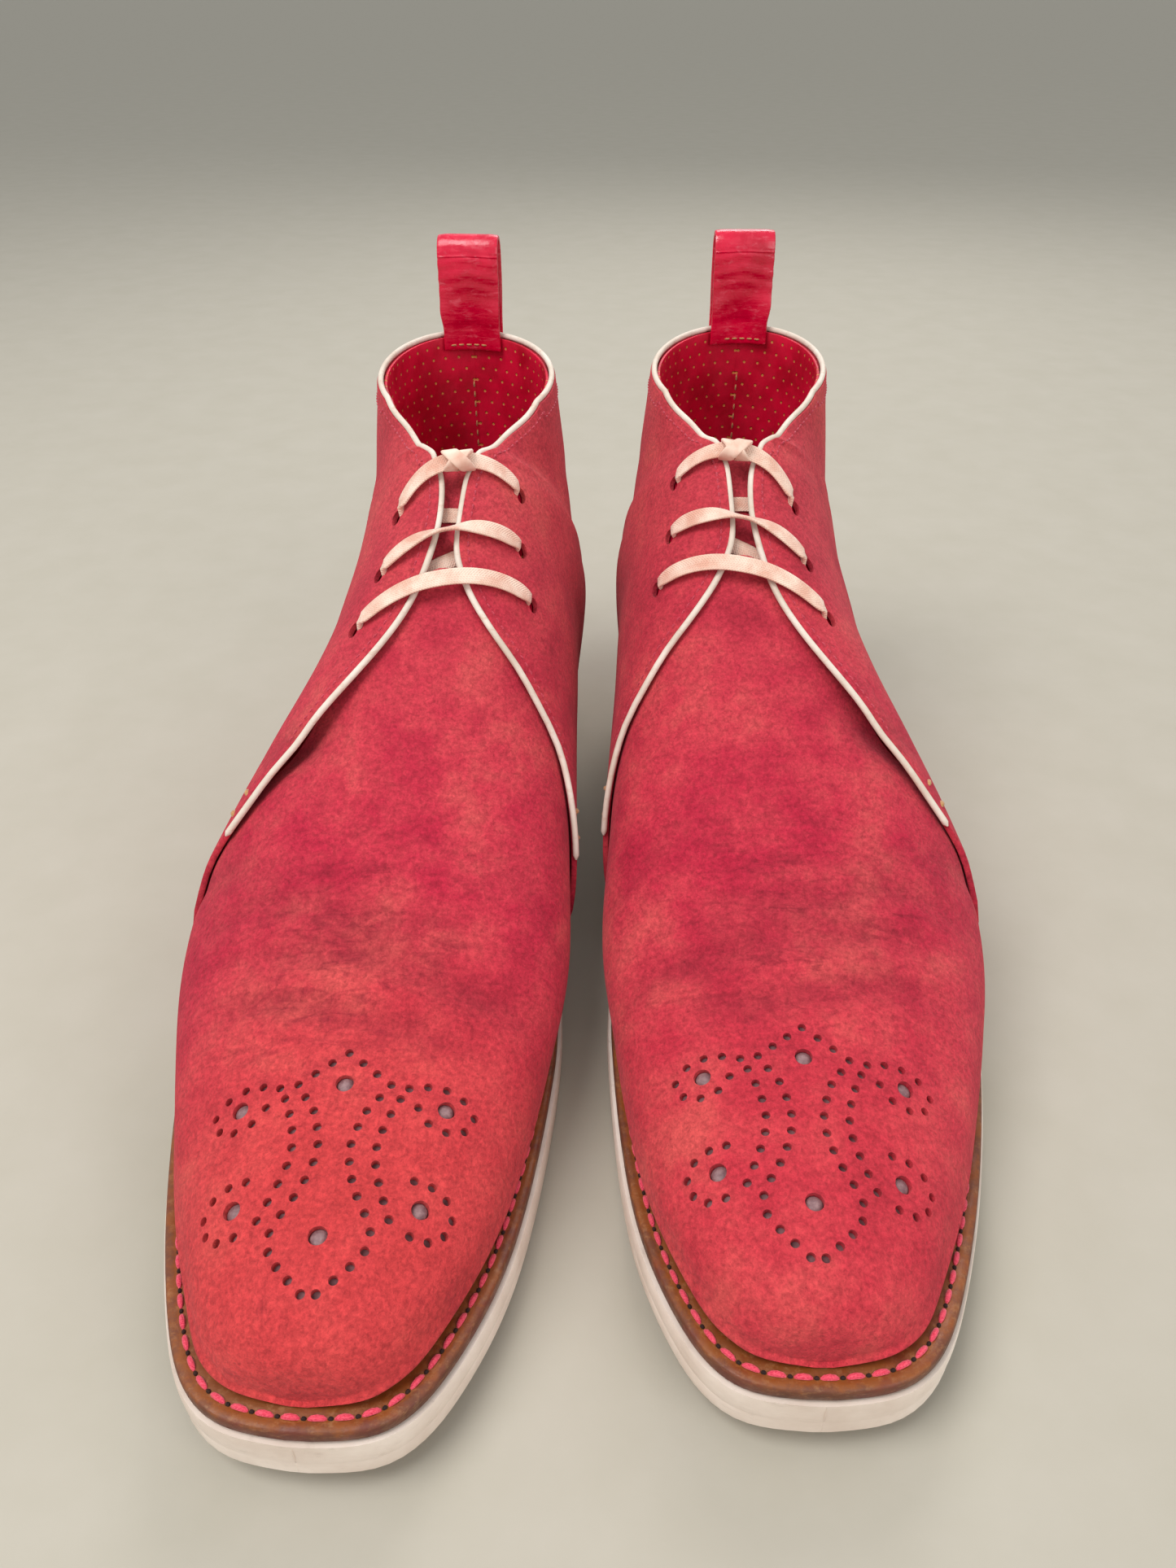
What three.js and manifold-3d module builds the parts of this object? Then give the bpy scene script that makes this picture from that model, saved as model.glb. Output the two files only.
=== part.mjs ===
// A pair of lace-up ankle boots (chukka boots) in millimetres, +Z up, toes towards -Y.
// Each boot is built in its own frame: s runs forward from the back of the heel, x outwards
// (away from the other boot) and z up. The right boot is the left boot mirrored.
import * as THREE from 'three';
import { mergeVertices } from 'three/addons/utils/BufferGeometryUtils.js';
import Module from 'manifold-3d';

const wasm = await Module();
wasm.setup();

// ---- driving dimensions -------------------------------------------------------------------
const FOOT_LENGTH = 300;      // heel to toe along the feather line, where upper and welt meet
const BALL_WIDTH = 102;       // widest part of the upper
const SHAFT_HEIGHT = 110;     // from the seat to the back of the collar
const CLEAR = 0.3;            // gap between two touching pieces
const PLY_GAP = 0.5;         // gap between two layers of the upper

const LINING = 0.9;
const SUEDE = 1.5;
const STIFFENER = 1.0;        // toe puff and heel counter
const TONGUE = 1.2;
const LACE_WIDTH = 5.5;
const LACE_THICK = 1.1;
const LACE_LIFT = 1.8;         // how far a lace arches over the throat
const PIPING = 2.2;           // diameter of the rolled edge binding

const WELT = 3.5;
const MIDSOLE = 5.5;
const OUTSOLE = 3.9;
const SOLE_EXTENSION = 4.4;   // how far the sole stands out beyond the upper at the toe
const INSOLE = 1.8;
const SOCK = 1.2;
const FILLER = 0.9;
const TOP_PIECE = 4;
const HEEL_LENGTH = 74;
const SHANK_WIDTH = 16;

const LOOP_WIDTH = 18.5;
const LOOP_THICK = 1.6;
const LOOP_HEIGHT = 31;       // above the collar
const LOOP_GAP = 6.2;         // between the two legs of the pull loop

const LEFT_PLACE = { x: 48, y: 0, turn: 0 };
const RIGHT_PLACE = { x: -35, y: -8, turn: -4.2 };

// ---- small mathematics --------------------------------------------------------------------
const DEG = Math.PI / 180;
const lerp = (a, b, t) => a + (b - a) * t;
const clamp = (v, lo, hi) => Math.min(hi, Math.max(lo, v));
const smooth = (a, b, v) => {
  const t = clamp((v - a) / (b - a), 0, 1);
  return t * t * (3 - 2 * t);
};

// A smooth curve through rows of numbers, one row for each whole number of t.
function rowCurve(rows) {
  const last = rows.length - 1;
  const slopes = rows.map((row) => row.map(() => 0));
  for (let round = 0; round < 40; round++) {
    for (let i = 0; i <= last; i++) {
      slopes[i] = rows[i].map((v, j) => {
        if (i === 0) return (3 * (rows[1][j] - v) - slopes[1][j]) / 2;
        if (i === last) return (3 * (v - rows[i - 1][j]) - slopes[i - 1][j]) / 2;
        return (3 * (rows[i + 1][j] - rows[i - 1][j]) - slopes[i - 1][j] - slopes[i + 1][j]) / 4;
      });
    }
  }
  return (t) => {
    const i = clamp(Math.floor(t), 0, last - 1);
    const u = t - i;
    const h00 = 2 * u ** 3 - 3 * u ** 2 + 1;
    const h10 = u ** 3 - 2 * u ** 2 + u;
    const h11 = u ** 3 - u ** 2;
    return rows[i].map((v, j) => h00 * v + h10 * slopes[i][j] + (1 - h00) * rows[i + 1][j]
      + h11 * slopes[i + 1][j]);
  };
}

// A smooth value over [t, value] points whose t need not be evenly spaced.
function pointCurve(points) {
  const f = rowCurve(points);
  return (t) => {
    let lo = 0;
    let hi = points.length - 1;
    for (let n = 0; n < 36; n++) {
      const mid = (lo + hi) / 2;
      if (f(mid)[0] < t) lo = mid;
      else hi = mid;
    }
    return f((lo + hi) / 2)[1];
  };
}

// ---- the shape of the boot ----------------------------------------------------------------
const LENGTH = FOOT_LENGTH / 300;
const WIDTH = BALL_WIDTH / 102;
const HEIGHT = SHAFT_HEIGHT / 110;

// Height of the seat, the level on which the upper stands, along the boot.
const seatCurve = pointCurve([[-30, 27.4], [0, 27.4], [35, 26.8], [75, 24.2], [118, 19.2],
  [156, 15.2], [188, 13.57], [216, 13.67], [244, 14.6], [268, 16.8], [286, 18.6], [300, 19.8],
  [325, 22]]);
const seat = (s) => seatCurve(s / LENGTH);

// Sections fan out from the toe tip to the collar, one row each: base s and base height above
// the seat, ridge s and z, half width, base x, ridge x, and the angle where the arch is cut.
const LAST = [
  [300.0, 0, 300.0, 20.6, 1.5, -3.0, -3.0, 106],
  [298.6, 0, 299.2, 29.5, 12.5, -3.0, -3.5, 106],
  [294.5, 0, 295.0, 35.5, 19.5, -2.5, -4.0, 106],
  [286.0, 0, 286.0, 39.0, 25.5, -2.0, -4.0, 107],
  [268.0, 0, 267.0, 42.0, 33.5, -1.0, -3.0, 110],
  [244.0, 0, 242.0, 46.0, 41.0, 1.5, -1.0, 113],
  [216.0, 0, 213.0, 53.5, 48.0, 4.5, 1.0, 117],
  [188.0, 0, 184.0, 66.5, 51.0, 6.5, 2.0, 119],
  [156.0, 0, 157.0, 84.5, 47.0, 5.5, 0.0, 120],
  [118.0, 0, 133.0, 102.5, 40.5, 2.0, -4.0, 120],
  [70.0, 0, 115.0, 116.0, 37.0, 0.5, -6.0, 121],
  [24.0, 0, 103.0, 124.5, 36.0, 0.5, -6.0, 134],
  [3.0, 0, 96.0, 129.0, 34.5, 1.0, -5.5, 158],
  [-0.8, 0, 93.8, 130.3, 33.6, 1.2, -5.3, 171],
  [-1.9, 2, 92.8, 130.8, 33.2, 1.4, -5.2, 179],
  [-2.5, 20, 91.2, 131.4, 31.6, 1.8, -5.0, 180],
  [1.0, 65, 88.0, 132.6, 29.3, 2.2, -5.0, 180],
  [4.0, 110, 85.0, 133.5, 27.3, 2.6, -5.0, 180],
];
const COLLAR = LAST.length - 1;
const HEEL_ROW = 14;          // the row where the back seam starts
const TOP_BUILD = LINING + STIFFENER + 2 * SUEDE + 3 * PLY_GAP; // whole thickness of the wall
const lastCurve = rowCurve(LAST);
const shaftZ = (z) => (z > 27 ? 27 + (z - 27) * HEIGHT : z);

function section(k) {
  const [bs, bz, rs, rz, half, baseX, ridgeX, cut] = lastCurve(clamp(k, 0, COLLAR));
  const baseS = bs * LENGTH;
  return { baseS, baseZ: seat(baseS) + CLEAR + Math.max(0, bz) * HEIGHT, ridgeS: rs * LENGTH,
    ridgeZ: shaftZ(rz), half: half * WIDTH, baseX: baseX * WIDTH, ridgeX: ridgeX * WIDTH,
    cut: Math.min(cut, 180) };
}

// A point of the outer face: k along the fan of sections, a in degrees round the section from
// the ridge (0) to the base, positive on the outer side of the foot. Toes point along -y.
function outer(k, a) {
  const c = section(k);
  const low = Math.cos(c.cut * DEG);
  const h = (Math.cos(a * DEG) - low) / (1 - low);
  const side = Math.sin(a * DEG);
  const x = lerp(c.baseX, c.ridgeX, h) + c.half * Math.sign(side) * Math.abs(side) ** 0.94;
  return new THREE.Vector3(x, -lerp(c.baseS, c.ridgeS, h), lerp(c.baseZ, c.ridgeZ, h));
}

function outward(k, a) {
  const along = outer(Math.min(COLLAR, k + 0.02), a).sub(outer(Math.max(0, k - 0.02), a));
  const round = outer(k, a + 1).sub(outer(k, a - 1));
  return along.cross(round).negate().normalize();
}

// depth is measured from the inside face of the lining outwards.
function wall(k, a, depth) {
  return outer(k, a).addScaledVector(outward(k, a), depth - TOP_BUILD);
}

const cutAt = (k) => section(k).cut;

// ---- solids -------------------------------------------------------------------------------
// A closed solid between two grids of points, rows by columns, with its faces turned outwards.
// With loop set, the last row comes back to the first one.
function slab(rows, cols, outside, inside, loop = false) {
  const points = [];
  const index = [];
  for (const f of [outside, inside]) {
    for (let i = 0; i <= rows; i++) for (let j = 0; j <= cols; j++) points.push(f(i / rows, j / cols));
  }
  const at = (layer, i, j) => layer * (rows + 1) * (cols + 1) + i * (cols + 1) + j;
  const quad = (a, b, c, d) => index.push(a, b, c, a, c, d);
  for (let i = 0; i < rows; i++) {
    for (let j = 0; j < cols; j++) {
      quad(at(0, i, j), at(0, i + 1, j), at(0, i + 1, j + 1), at(0, i, j + 1));
      quad(at(1, i, j), at(1, i, j + 1), at(1, i + 1, j + 1), at(1, i + 1, j));
    }
    quad(at(0, i, 0), at(1, i, 0), at(1, i + 1, 0), at(0, i + 1, 0));
    quad(at(0, i, cols), at(0, i + 1, cols), at(1, i + 1, cols), at(1, i, cols));
  }
  for (let j = 0; j < cols && !loop; j++) {
    quad(at(0, 0, j), at(0, 0, j + 1), at(1, 0, j + 1), at(1, 0, j));
    quad(at(0, rows, j), at(1, rows, j), at(1, rows, j + 1), at(0, rows, j + 1));
  }
  let volume = 0;
  for (let i = 0; i < index.length; i += 3) {
    const [a, b, c] = [points[index[i]], points[index[i + 1]], points[index[i + 2]]];
    volume += a.dot(b.clone().cross(c));
  }
  const geometry = new THREE.BufferGeometry();
  const flat = points.flatMap((p) => [p.x, p.y, p.z]);
  geometry.setAttribute('position', new THREE.Float32BufferAttribute(flat, 3));
  geometry.setIndex(volume > 0 ? index : index.reverse());
  return mergeVertices(geometry, 1e-4);
}

// A piece of the upper: patch(u, v) gives the section and angle, from and to its depths.
function skin(rows, cols, patch, from, to) {
  const face = (depth) => (u, v) => {
    const [k, a] = patch(u, v);
    return wall(k, a, typeof depth === 'function' ? depth(k, a) : depth);
  };
  return slab(rows, cols, face(to), face(from));
}

// A flat band swept along a list of points; across(i) is the direction of its width.
function ribbon(path, across, width, thick) {
  const frames = path.map((p, i) => {
    const ahead = path[Math.min(i + 1, path.length - 1)];
    const behind = path[Math.max(i - 1, 0)];
    const run = ahead.clone().sub(behind).normalize();
    const wide = across(i).clone();
    wide.addScaledVector(run, -wide.dot(run)).normalize();
    return { p, wide, up: run.clone().cross(wide).normalize() };
  });
  const face = (side) => (u, v) => {
    const f = frames[Math.round(u * (path.length - 1))];
    return f.p.clone().addScaledVector(f.wide, (v - 0.5) * width)
      .addScaledVector(f.up, side * thick / 2);
  };
  return slab(path.length - 1, 1, face(-1), face(1));
}

// A round cord swept along a list of points.
function tube(path, radius, sides, steps) {
  const circle = new THREE.Shape();
  for (let i = 0; i < sides; i++) {
    const x = radius * Math.cos((i / sides) * 2 * Math.PI);
    const y = radius * Math.sin((i / sides) * 2 * Math.PI);
    if (i === 0) circle.moveTo(x, y);
    else circle.lineTo(x, y);
  }
  const extrudePath = new THREE.CatmullRomCurve3(path);
  return new THREE.ExtrudeGeometry(circle, { steps, extrudePath, bevelEnabled: false });
}

// ---- joins and cuts -----------------------------------------------------------------------
function toSolid(geometry) {
  const bare = geometry.clone();
  bare.deleteAttribute('normal');
  bare.deleteAttribute('uv');
  const g = mergeVertices(bare, 1e-4);
  return new wasm.Manifold(new wasm.Mesh({ numProp: 3,
    vertProperties: new Float32Array(g.attributes.position.array),
    triVerts: new Uint32Array(g.index.array) }));
}

function toGeometry(solid) {
  const mesh = solid.getMesh();
  const g = new THREE.BufferGeometry();
  g.setAttribute('position', new THREE.Float32BufferAttribute(mesh.vertProperties, 3));
  g.setIndex(Array.from(mesh.triVerts));
  return g;
}

function cutAway(geometry, cutters) {
  return toGeometry(cutters.reduce((solid, c) => solid.subtract(toSolid(c)), toSolid(geometry)));
}

// ---- edges of the pattern pieces ------------------------------------------------------------
// Front edge of each quarter, as the angle at each section, from the bottom corner of the
// facing up to the collar. The side is 1 on the outer side of the foot and -1 on the inner.
const THROAT = [[9.8, 5.5], [10.5, 5.5], [11.2, 7], [11.6, 9.5], [12.2, 12], [13, 14.5], [14, 17],
  [15, 20], [16, 26.5], [16.6, 40], [17, 57]];
const EDGES = {
  1: pointCurve([[7, 112], [7.15, 88], [7.3, 70], [7.47, 54], [7.66, 44], [7.88, 35], [8.15, 26.5],
    [8.46, 18], [8.8, 11.5], [9.2, 7.5], ...THROAT]),
  [-1]: pointCurve([[7.5, 118], [7.75, 96], [8, 80], [8.25, 68], [8.42, 59], [8.55, 47], [8.7, 36],
    [8.87, 25], [9.15, 14.5], [9.45, 8.5], ...THROAT]),
};
// Front edge of each quarter lining, just behind the vamp and then behind the facing.
const LINING_THROAT = THROAT.map(([k, a]) => [k, a + 1]);
const LINING_EDGES = {
  1: pointCurve([[7.52, 120], [7.62, 90], [7.74, 70], [7.92, 54], [8.12, 44], [8.32, 35],
    [8.59, 26], [8.9, 18], [9.27, 10.5], [9.55, 8], ...LINING_THROAT]),
  [-1]: pointCurve([[8.02, 120], [8.22, 90], [8.42, 78], [8.62, 69], [8.8, 59], [8.92, 46],
    [9.05, 36], [9.24, 25], [9.47, 14], [9.62, 8.5], ...LINING_THROAT]),
};
const QUARTER_START = { 1: 7.12, [-1]: 7.7 };
const LINING_START = { 1: 7.54, [-1]: 8.04 };
const PIPING_START = { 1: 7.42, [-1]: 7.9 };
// Rear edge of the vamp, as the section reached at each signed angle.
const vampEdge = pointCurve([[-120, 7.9], [-90, 8.1], [-78, 8.3], [-69, 8.5], [-59, 8.68],
  [-46, 8.8], [-36, 8.93], [-25, 9.12], [-14, 9.35], [-5, 9.45], [3, 9.42], [10, 9.15], [18, 8.78],
  [26, 8.47], [35, 8.2], [44, 8], [54, 7.8], [70, 7.62], [90, 7.5], [120, 7.4]]);
const vampLiningEdge = (a) => Math.min(8.7, vampEdge(a) - 0.42);
// Eyelets, lowest first, as section and angle.
const EYELETS = {
  1: [[8.9, 26.5], [9.5, 23.5], [10.4, 22.5]],
  [-1]: [[9.45, 37], [10.06, 30], [11.1, 27.5]],
};

// Depths of the layers.
const VAMP_DEPTH = TOP_BUILD - SUEDE - PLY_GAP - SUEDE;
const QUARTER_DEPTH = TOP_BUILD - SUEDE;
const liningRise = (k, a) => Math.max(smooth(58, 46, Math.abs(a)), smooth(15.4, 16.4, k));
const LINING_EASE = 0.15;       // extra room between a raised lining and its quarter
const LINING_DEEP = VAMP_DEPTH - PLY_GAP - LINING;
const LINING_RAISED = QUARTER_DEPTH - PLY_GAP - LINING_EASE - LINING;
const liningDepth = (k, a) => lerp(LINING_DEEP, LINING_RAISED, liningRise(k, a));
const TONGUE_FACE = LINING_DEEP - PLY_GAP;
const tongueDepth = (k) => TONGUE_FACE - TONGUE + 0.3 * smooth(9.3, 9.9, k);

// ---- pieces of the upper --------------------------------------------------------------------
const fullWidth = (rear, first = 0.04) => (u, v) => {
  const t = 2 * v - 1;
  const reach = rear(t * 120);
  const k = lerp(first, reach, 1 - (1 - u) ** 0.9);
  return [k, t * cutAt(k)];
};

const vamp = () => skin(18, 14, fullWidth(vampEdge), VAMP_DEPTH, VAMP_DEPTH + SUEDE);
const vampLining = () => skin(12, 10, fullWidth(vampLiningEdge), 0, LINING);
const toePuff = () => skin(7, 10, fullWidth(() => 4.4), LINING + PLY_GAP, VAMP_DEPTH - PLY_GAP);

// Sections at which the quarters and their linings are drawn, close together at the throat.
const STATIONS = [7.3, 7.5, 7.8, 8.1, 8.35, 8.55, 8.8, 9.1, 9.4, 9.8, 10.4, 11.1, 11.6, 12.4, 13.2,
  13.8, 14.3, 15, 15.7, 16.3, 16.7, COLLAR];
const QUARTER_COLS = 8;
function sideWards(side, stations, edge) {
  return (u, v) => {
    const k = stations[Math.round(u * (stations.length - 1))];
    const end = cutAt(k) - 0.4;
    return [k, side * lerp(Math.min(edge(k), end - 4), end, v ** 0.9)];
  };
}

function punchHoles(geometry, side, width) {
  const cutters = EYELETS[side].map(([k, a]) => {
    const hole = new THREE.CylinderGeometry(width / 2, width / 2, 12, 8);
    hole.scale(1, 1, 0.45);
    const at = wall(k, a * side, QUARTER_DEPTH);
    const axis = outward(k, a * side);
    const along = outer(k + 0.1, a * side).sub(outer(k - 0.1, a * side));
    along.addScaledVector(axis, -along.dot(axis)).normalize();
    const basis = new THREE.Matrix4().makeBasis(along, axis, along.clone().cross(axis));
    hole.applyMatrix4(basis.setPosition(at));
    return hole;
  });
  return cutAway(geometry, cutters);
}

function quarter(side) {
  const first = QUARTER_START[side];
  const stations = [first, ...STATIONS.filter((k) => k > first + 0.08)];
  const g = skin(stations.length - 1, QUARTER_COLS, sideWards(side, stations, EDGES[side]),
    QUARTER_DEPTH, TOP_BUILD);
  return punchHoles(g, side, LACE_WIDTH + 1.6);
}

function quarterLining(side) {
  const first = LINING_START[side];
  const stations = [first, ...STATIONS.filter((k) => k > first + 0.08)];
  const outside = (k, a) => liningDepth(k, a) + LINING;
  const cover = sideWards(side, stations, LINING_EDGES[side]);
  const g = skin(stations.length - 1, QUARTER_COLS, cover, liningDepth, outside);
  return punchHoles(g, side, LACE_WIDTH + 1.6);
}

const SEAM_LAP = 0.6;         // degrees by which the two halves of the counter run together
function heelCounter() {
  const stations = STATIONS.filter((k) => k > 10.5 && k < 15.2);
  const first = QUARTER_COLS / 2;
  const half = (side) => {
    const cover = sideWards(side, stations, EDGES[side]);
    const patch = (u, v) => {
      const [k, a] = cover(u, lerp(first / QUARTER_COLS, 1, v));
      return [k, v === 1 ? a + side * (0.4 + SEAM_LAP) * smooth(14, 14.3, k) : a];
    };
    return skin(stations.length - 1, first, patch, VAMP_DEPTH + 0.3, QUARTER_DEPTH - PLY_GAP - 0.2);
  };
  return toGeometry(toSolid(half(1)).add(toSolid(half(-1))));
}

function tongue() {
  const patch = (u, v) => {
    const k = lerp(8.8, 14.4, u);
    const half = 33 * (1 - 0.3 * smooth(0.8, 1.02, u));
    return [k - 0.55 * smooth(0.6, 1, u) * (2 * v - 1) ** 2, (2 * v - 1) * half];
  };
  return skin(10, 6, patch, (k) => tongueDepth(k), (k) => tongueDepth(k) + TONGUE);
}

function pipingPath() {
  const climb = (side) => {
    const spots = [];
    for (let i = 0; i <= 40; i++) {
      const k = lerp(PIPING_START[side], COLLAR, 1 - (1 - i / 40) ** 1.3);
      spots.push([k, side * EDGES[side](k)]);
    }
    for (let i = 1; i <= 8; i++) spots.push([COLLAR, side * lerp(EDGES[side](COLLAR), 180, i / 8)]);
    return spots;
  };
  const whole = [...climb(1), ...climb(-1).slice(0, -1).reverse()];
  const overVamp = VAMP_DEPTH + SUEDE + CLEAR + 0.35 + PIPING / 2;
  const flush = TOP_BUILD - PIPING / 2;
  const points = whole.map(([k, a]) => wall(k, a, lerp(overVamp, flush, smooth(9.3, 10.2, k))));
  return points.map((p, i) => {
    const run = points[Math.min(i + 1, points.length - 1)].clone().sub(points[Math.max(i - 1, 0)]);
    const [k, a] = whole[i];
    const away = outward(k, a).cross(run).normalize();
    return p.clone().addScaledVector(away, PIPING / 2 + CLEAR + 0.3);
  });
}

const piping = () => tube(pipingPath(), PIPING / 2, 5, 80);

// ---- pieces of the bottom -------------------------------------------------------------------
// Corner of the feather line at section k, moved outwards in plan by grow.
function featherPoint(k, side, grow) {
  const raw = (q) => {
    const c = section(q);
    const x = c.baseX + side * c.half * Math.sin(c.cut * DEG) ** 0.94;
    return new THREE.Vector2(x, -c.baseS);
  };
  const run = raw(Math.min(HEEL_ROW, k + 0.03)).sub(raw(Math.max(0, k - 0.03))).normalize();
  return raw(k).add(new THREE.Vector2(-run.y, run.x).multiplyScalar(-side * grow));
}

// The sole stands out most round the toe and is trimmed close at the waist.
const extension = (k) => SOLE_EXTENSION - 0.6 * smooth(4.2, 6.2, k) - 1.8 * smooth(6.2, 8.4, k)
  + 0.7 * smooth(9.5, 11.5, k);

const level = (p, above) => new THREE.Vector3(p.x, p.y, seat(-p.y) + above);

// A plate of the bottom between two levels counted from the seat, over a range of sections.
function plate(grow, low, high, first = 0, end = HEEL_ROW, rows = 22, cols = 2) {
  const face = (height) => (u, v) => {
    const k = lerp(first, end, u);
    const outerSide = featherPoint(k, 1, grow(k));
    const innerSide = featherPoint(k, -1, grow(k));
    const p = innerSide.lerp(outerSide, v);
    return typeof height === 'function' ? height(p) : level(p, height);
  };
  return slab(rows, cols, face(high), face(low));
}

// A band that runs all round the feather line, from one offset to another.
function rand(growIn, growOut, low, high, steps = 44) {
  const at = (grow, height) => (u) => {
    const t = (u % 1) * 2 * HEEL_ROW;
    const k = t <= HEEL_ROW ? t : 2 * HEEL_ROW - t;
    return level(featherPoint(k, t <= HEEL_ROW ? 1 : -1, grow(k)), height);
  };
  const mix = (height) => (u, v) => at(growIn, height)(u).lerp(at(growOut, height)(u), v);
  return slab(steps, 1, mix(high), mix(low), true);
}

const INSOLE_LOW = -INSOLE;
const FILLER_HIGH = INSOLE_LOW - CLEAR;
const MIDSOLE_HIGH = -WELT - CLEAR;
const OUTSOLE_HIGH = MIDSOLE_HIGH - MIDSOLE - CLEAR;
const HEEL_HIGH = OUTSOLE_HIGH - OUTSOLE - CLEAR;

// Section whose feather point lies at a distance s from the back of the heel.
function sectionAt(s) {
  let lo = 0;
  let hi = HEEL_ROW;
  for (let n = 0; n < 30; n++) {
    const mid = (lo + hi) / 2;
    if (section(mid).baseS > s) lo = mid;
    else hi = mid;
  }
  return lo;
}

const flatAt = (z) => (p) => new THREE.Vector3(p.x, p.y, z);
const insole = () => plate(() => -3, INSOLE_LOW, -0.4);
const sock = () => plate(() => -7.8, CLEAR - 0.4, CLEAR - 0.4 + SOCK, 0.15, HEEL_ROW - 0.6);
const filler = () => plate(() => -3.5, FILLER_HIGH - FILLER, FILLER_HIGH, 0.2, 6.9, 12);
const welt = () => rand(() => -2.4, (k) => extension(k) - 0.7, -WELT, 0);
const weltStitch = () => rand(() => 1.3, () => 2.4, CLEAR / 2, CLEAR / 2 + 0.5);
const midsole = () => plate(extension, MIDSOLE_HIGH - MIDSOLE, MIDSOLE_HIGH);
const outsole = () => plate((k) => extension(k) - 0.3, OUTSOLE_HIGH - OUTSOLE, OUTSOLE_HIGH);

function shank() {
  const face = (height) => (u, v) => {
    const s = lerp(HEEL_LENGTH - 34, 172 * LENGTH, u);
    const c = section(sectionAt(s));
    const p = new THREE.Vector2(lerp(c.baseX, c.ridgeX, 0.3) + (v - 0.5) * SHANK_WIDTH, -s);
    return level(p, height);
  };
  return slab(10, 1, face(FILLER_HIGH), face(FILLER_HIGH - FILLER));
}

const heelBlock = () => plate((k) => extension(k) - 0.6, flatAt(TOP_PIECE + CLEAR), HEEL_HIGH,
  sectionAt(HEEL_LENGTH), HEEL_ROW, 10);
const topPiece = () => plate((k) => extension(k) - 0.8, flatAt(0), flatAt(TOP_PIECE),
  sectionAt(HEEL_LENGTH - 0.6), HEEL_ROW, 10);

// ---- pull loop and laces --------------------------------------------------------------------
const ACROSS = new THREE.Vector3(1, 0, 0);
const collarBack = outer(COLLAR, 180);
const TAB_TOP = collarBack.z + CLEAR + PIPING + CLEAR;
const LOOP_FOOT = 16.72;      // section down to which the foot of the loop reaches
const LOOP_SPREAD = 2 * Math.asin(LOOP_WIDTH / 2 / 26) / DEG;
const TAB_INSIDE = LINING_RAISED - CLEAR - 0.15 - LOOP_THICK;
const TAB_OUTSIDE = TOP_BUILD + CLEAR;

// The sewn foot of the pull loop, bent to the curve of the collar.
function loopTab(depth) {
  const face = (d) => (u, v) => {
    const a = 180 + (v - 0.5) * LOOP_SPREAD;
    const p = wall(lerp(LOOP_FOOT, COLLAR, Math.min(1, u / 0.75)), a, d);
    return u > 0.76 ? p.setZ(lerp(p.z, TAB_TOP, (u - 0.75) * 4)) : p;
  };
  return slab(4, 6, face(depth + LOOP_THICK), face(depth));
}

function loopMiddle() {
  const frontY = wall(COLLAR, 180, TAB_INSIDE + LOOP_THICK / 2).y;
  const backY = wall(COLLAR, 180, TAB_OUTSIDE + LOOP_THICK / 2).y;
  const middle = (frontY + backY) / 2;
  const reach = (LOOP_GAP + LOOP_THICK) / 2;
  const low = TAB_TOP + 0.9;
  const top = collarBack.z + LOOP_HEIGHT;
  const points = [[frontY, low], [lerp(frontY, middle - reach, 0.7), low + 5],
    [middle - reach, low + 11], [middle - reach, top - 7]];
  for (let i = 1; i <= 7; i++) {
    const turn = Math.PI * (i / 8);
    points.push([middle - reach * Math.cos(turn), top - 7 + (7 - LOOP_THICK / 2) * Math.sin(turn)]);
  }
  points.push([middle + reach, top - 7], [middle + reach, low + 11],
    [lerp(backY, middle + reach, 0.7), low + 5], [backY, low]);
  return points.map(([y, z]) => new THREE.Vector3(collarBack.x, y, z));
}

const pullLoop = () => ribbon(loopMiddle(), () => ACROSS, LOOP_WIDTH, LOOP_THICK);

// A lace over the facings: it rides over the gap and drops into an eyelet on each side.
function laceBar(row) {
  const [k0, a0] = EYELETS[-1][row];
  const [k1, a1] = EYELETS[1][row];
  const steps = 14;
  const inside = LINING_RAISED + 0.5;
  const turns = [0];
  for (let i = 0; i <= steps; i++) turns.push(i / steps);
  turns.push(1);
  const spot = (t, dk, depth) => wall(lerp(k0, k1, t) + dk, lerp(-a0, a1, t), depth);
  const points = turns.map((t, i) => {
    const end = i === 0 || i === turns.length - 1;
    const riding = TOP_BUILD + CLEAR + LACE_THICK / 2 + LACE_LIFT * 4 * t * (1 - t);
    return spot(t, 0, end ? inside : riding);
  });
  const across = (i) => spot(turns[i], -0.1, TOP_BUILD).sub(spot(turns[i], 0.1, TOP_BUILD));
  return ribbon(points, across, LACE_WIDTH, LACE_THICK);
}

// A lace under the facings, from beside one eyelet to beside the next one on the other side.
function laceUnder(row) {
  const [k0, a0] = EYELETS[row % 2 ? -1 : 1][row];
  const [k1, a1] = EYELETS[row % 2 ? 1 : -1][row + 1];
  const side = row % 2 ? -1 : 1;
  const depth = TONGUE_FACE + 0.3 + CLEAR - 0.2 + LACE_THICK / 2;
  const spot = (t, dk) => wall(lerp(k0 + 0.3, k1, t) + dk, side * lerp(a0 - 4, 4 - a1, t), depth);
  const points = [];
  for (let i = 0; i <= 12; i++) points.push(spot(i / 12, 0));
  const across = (i) => spot(i / 12, -0.1).sub(spot(i / 12, 0.1));
  return ribbon(points, across, LACE_WIDTH - 0.8, LACE_THICK - 0.3);
}

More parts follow.
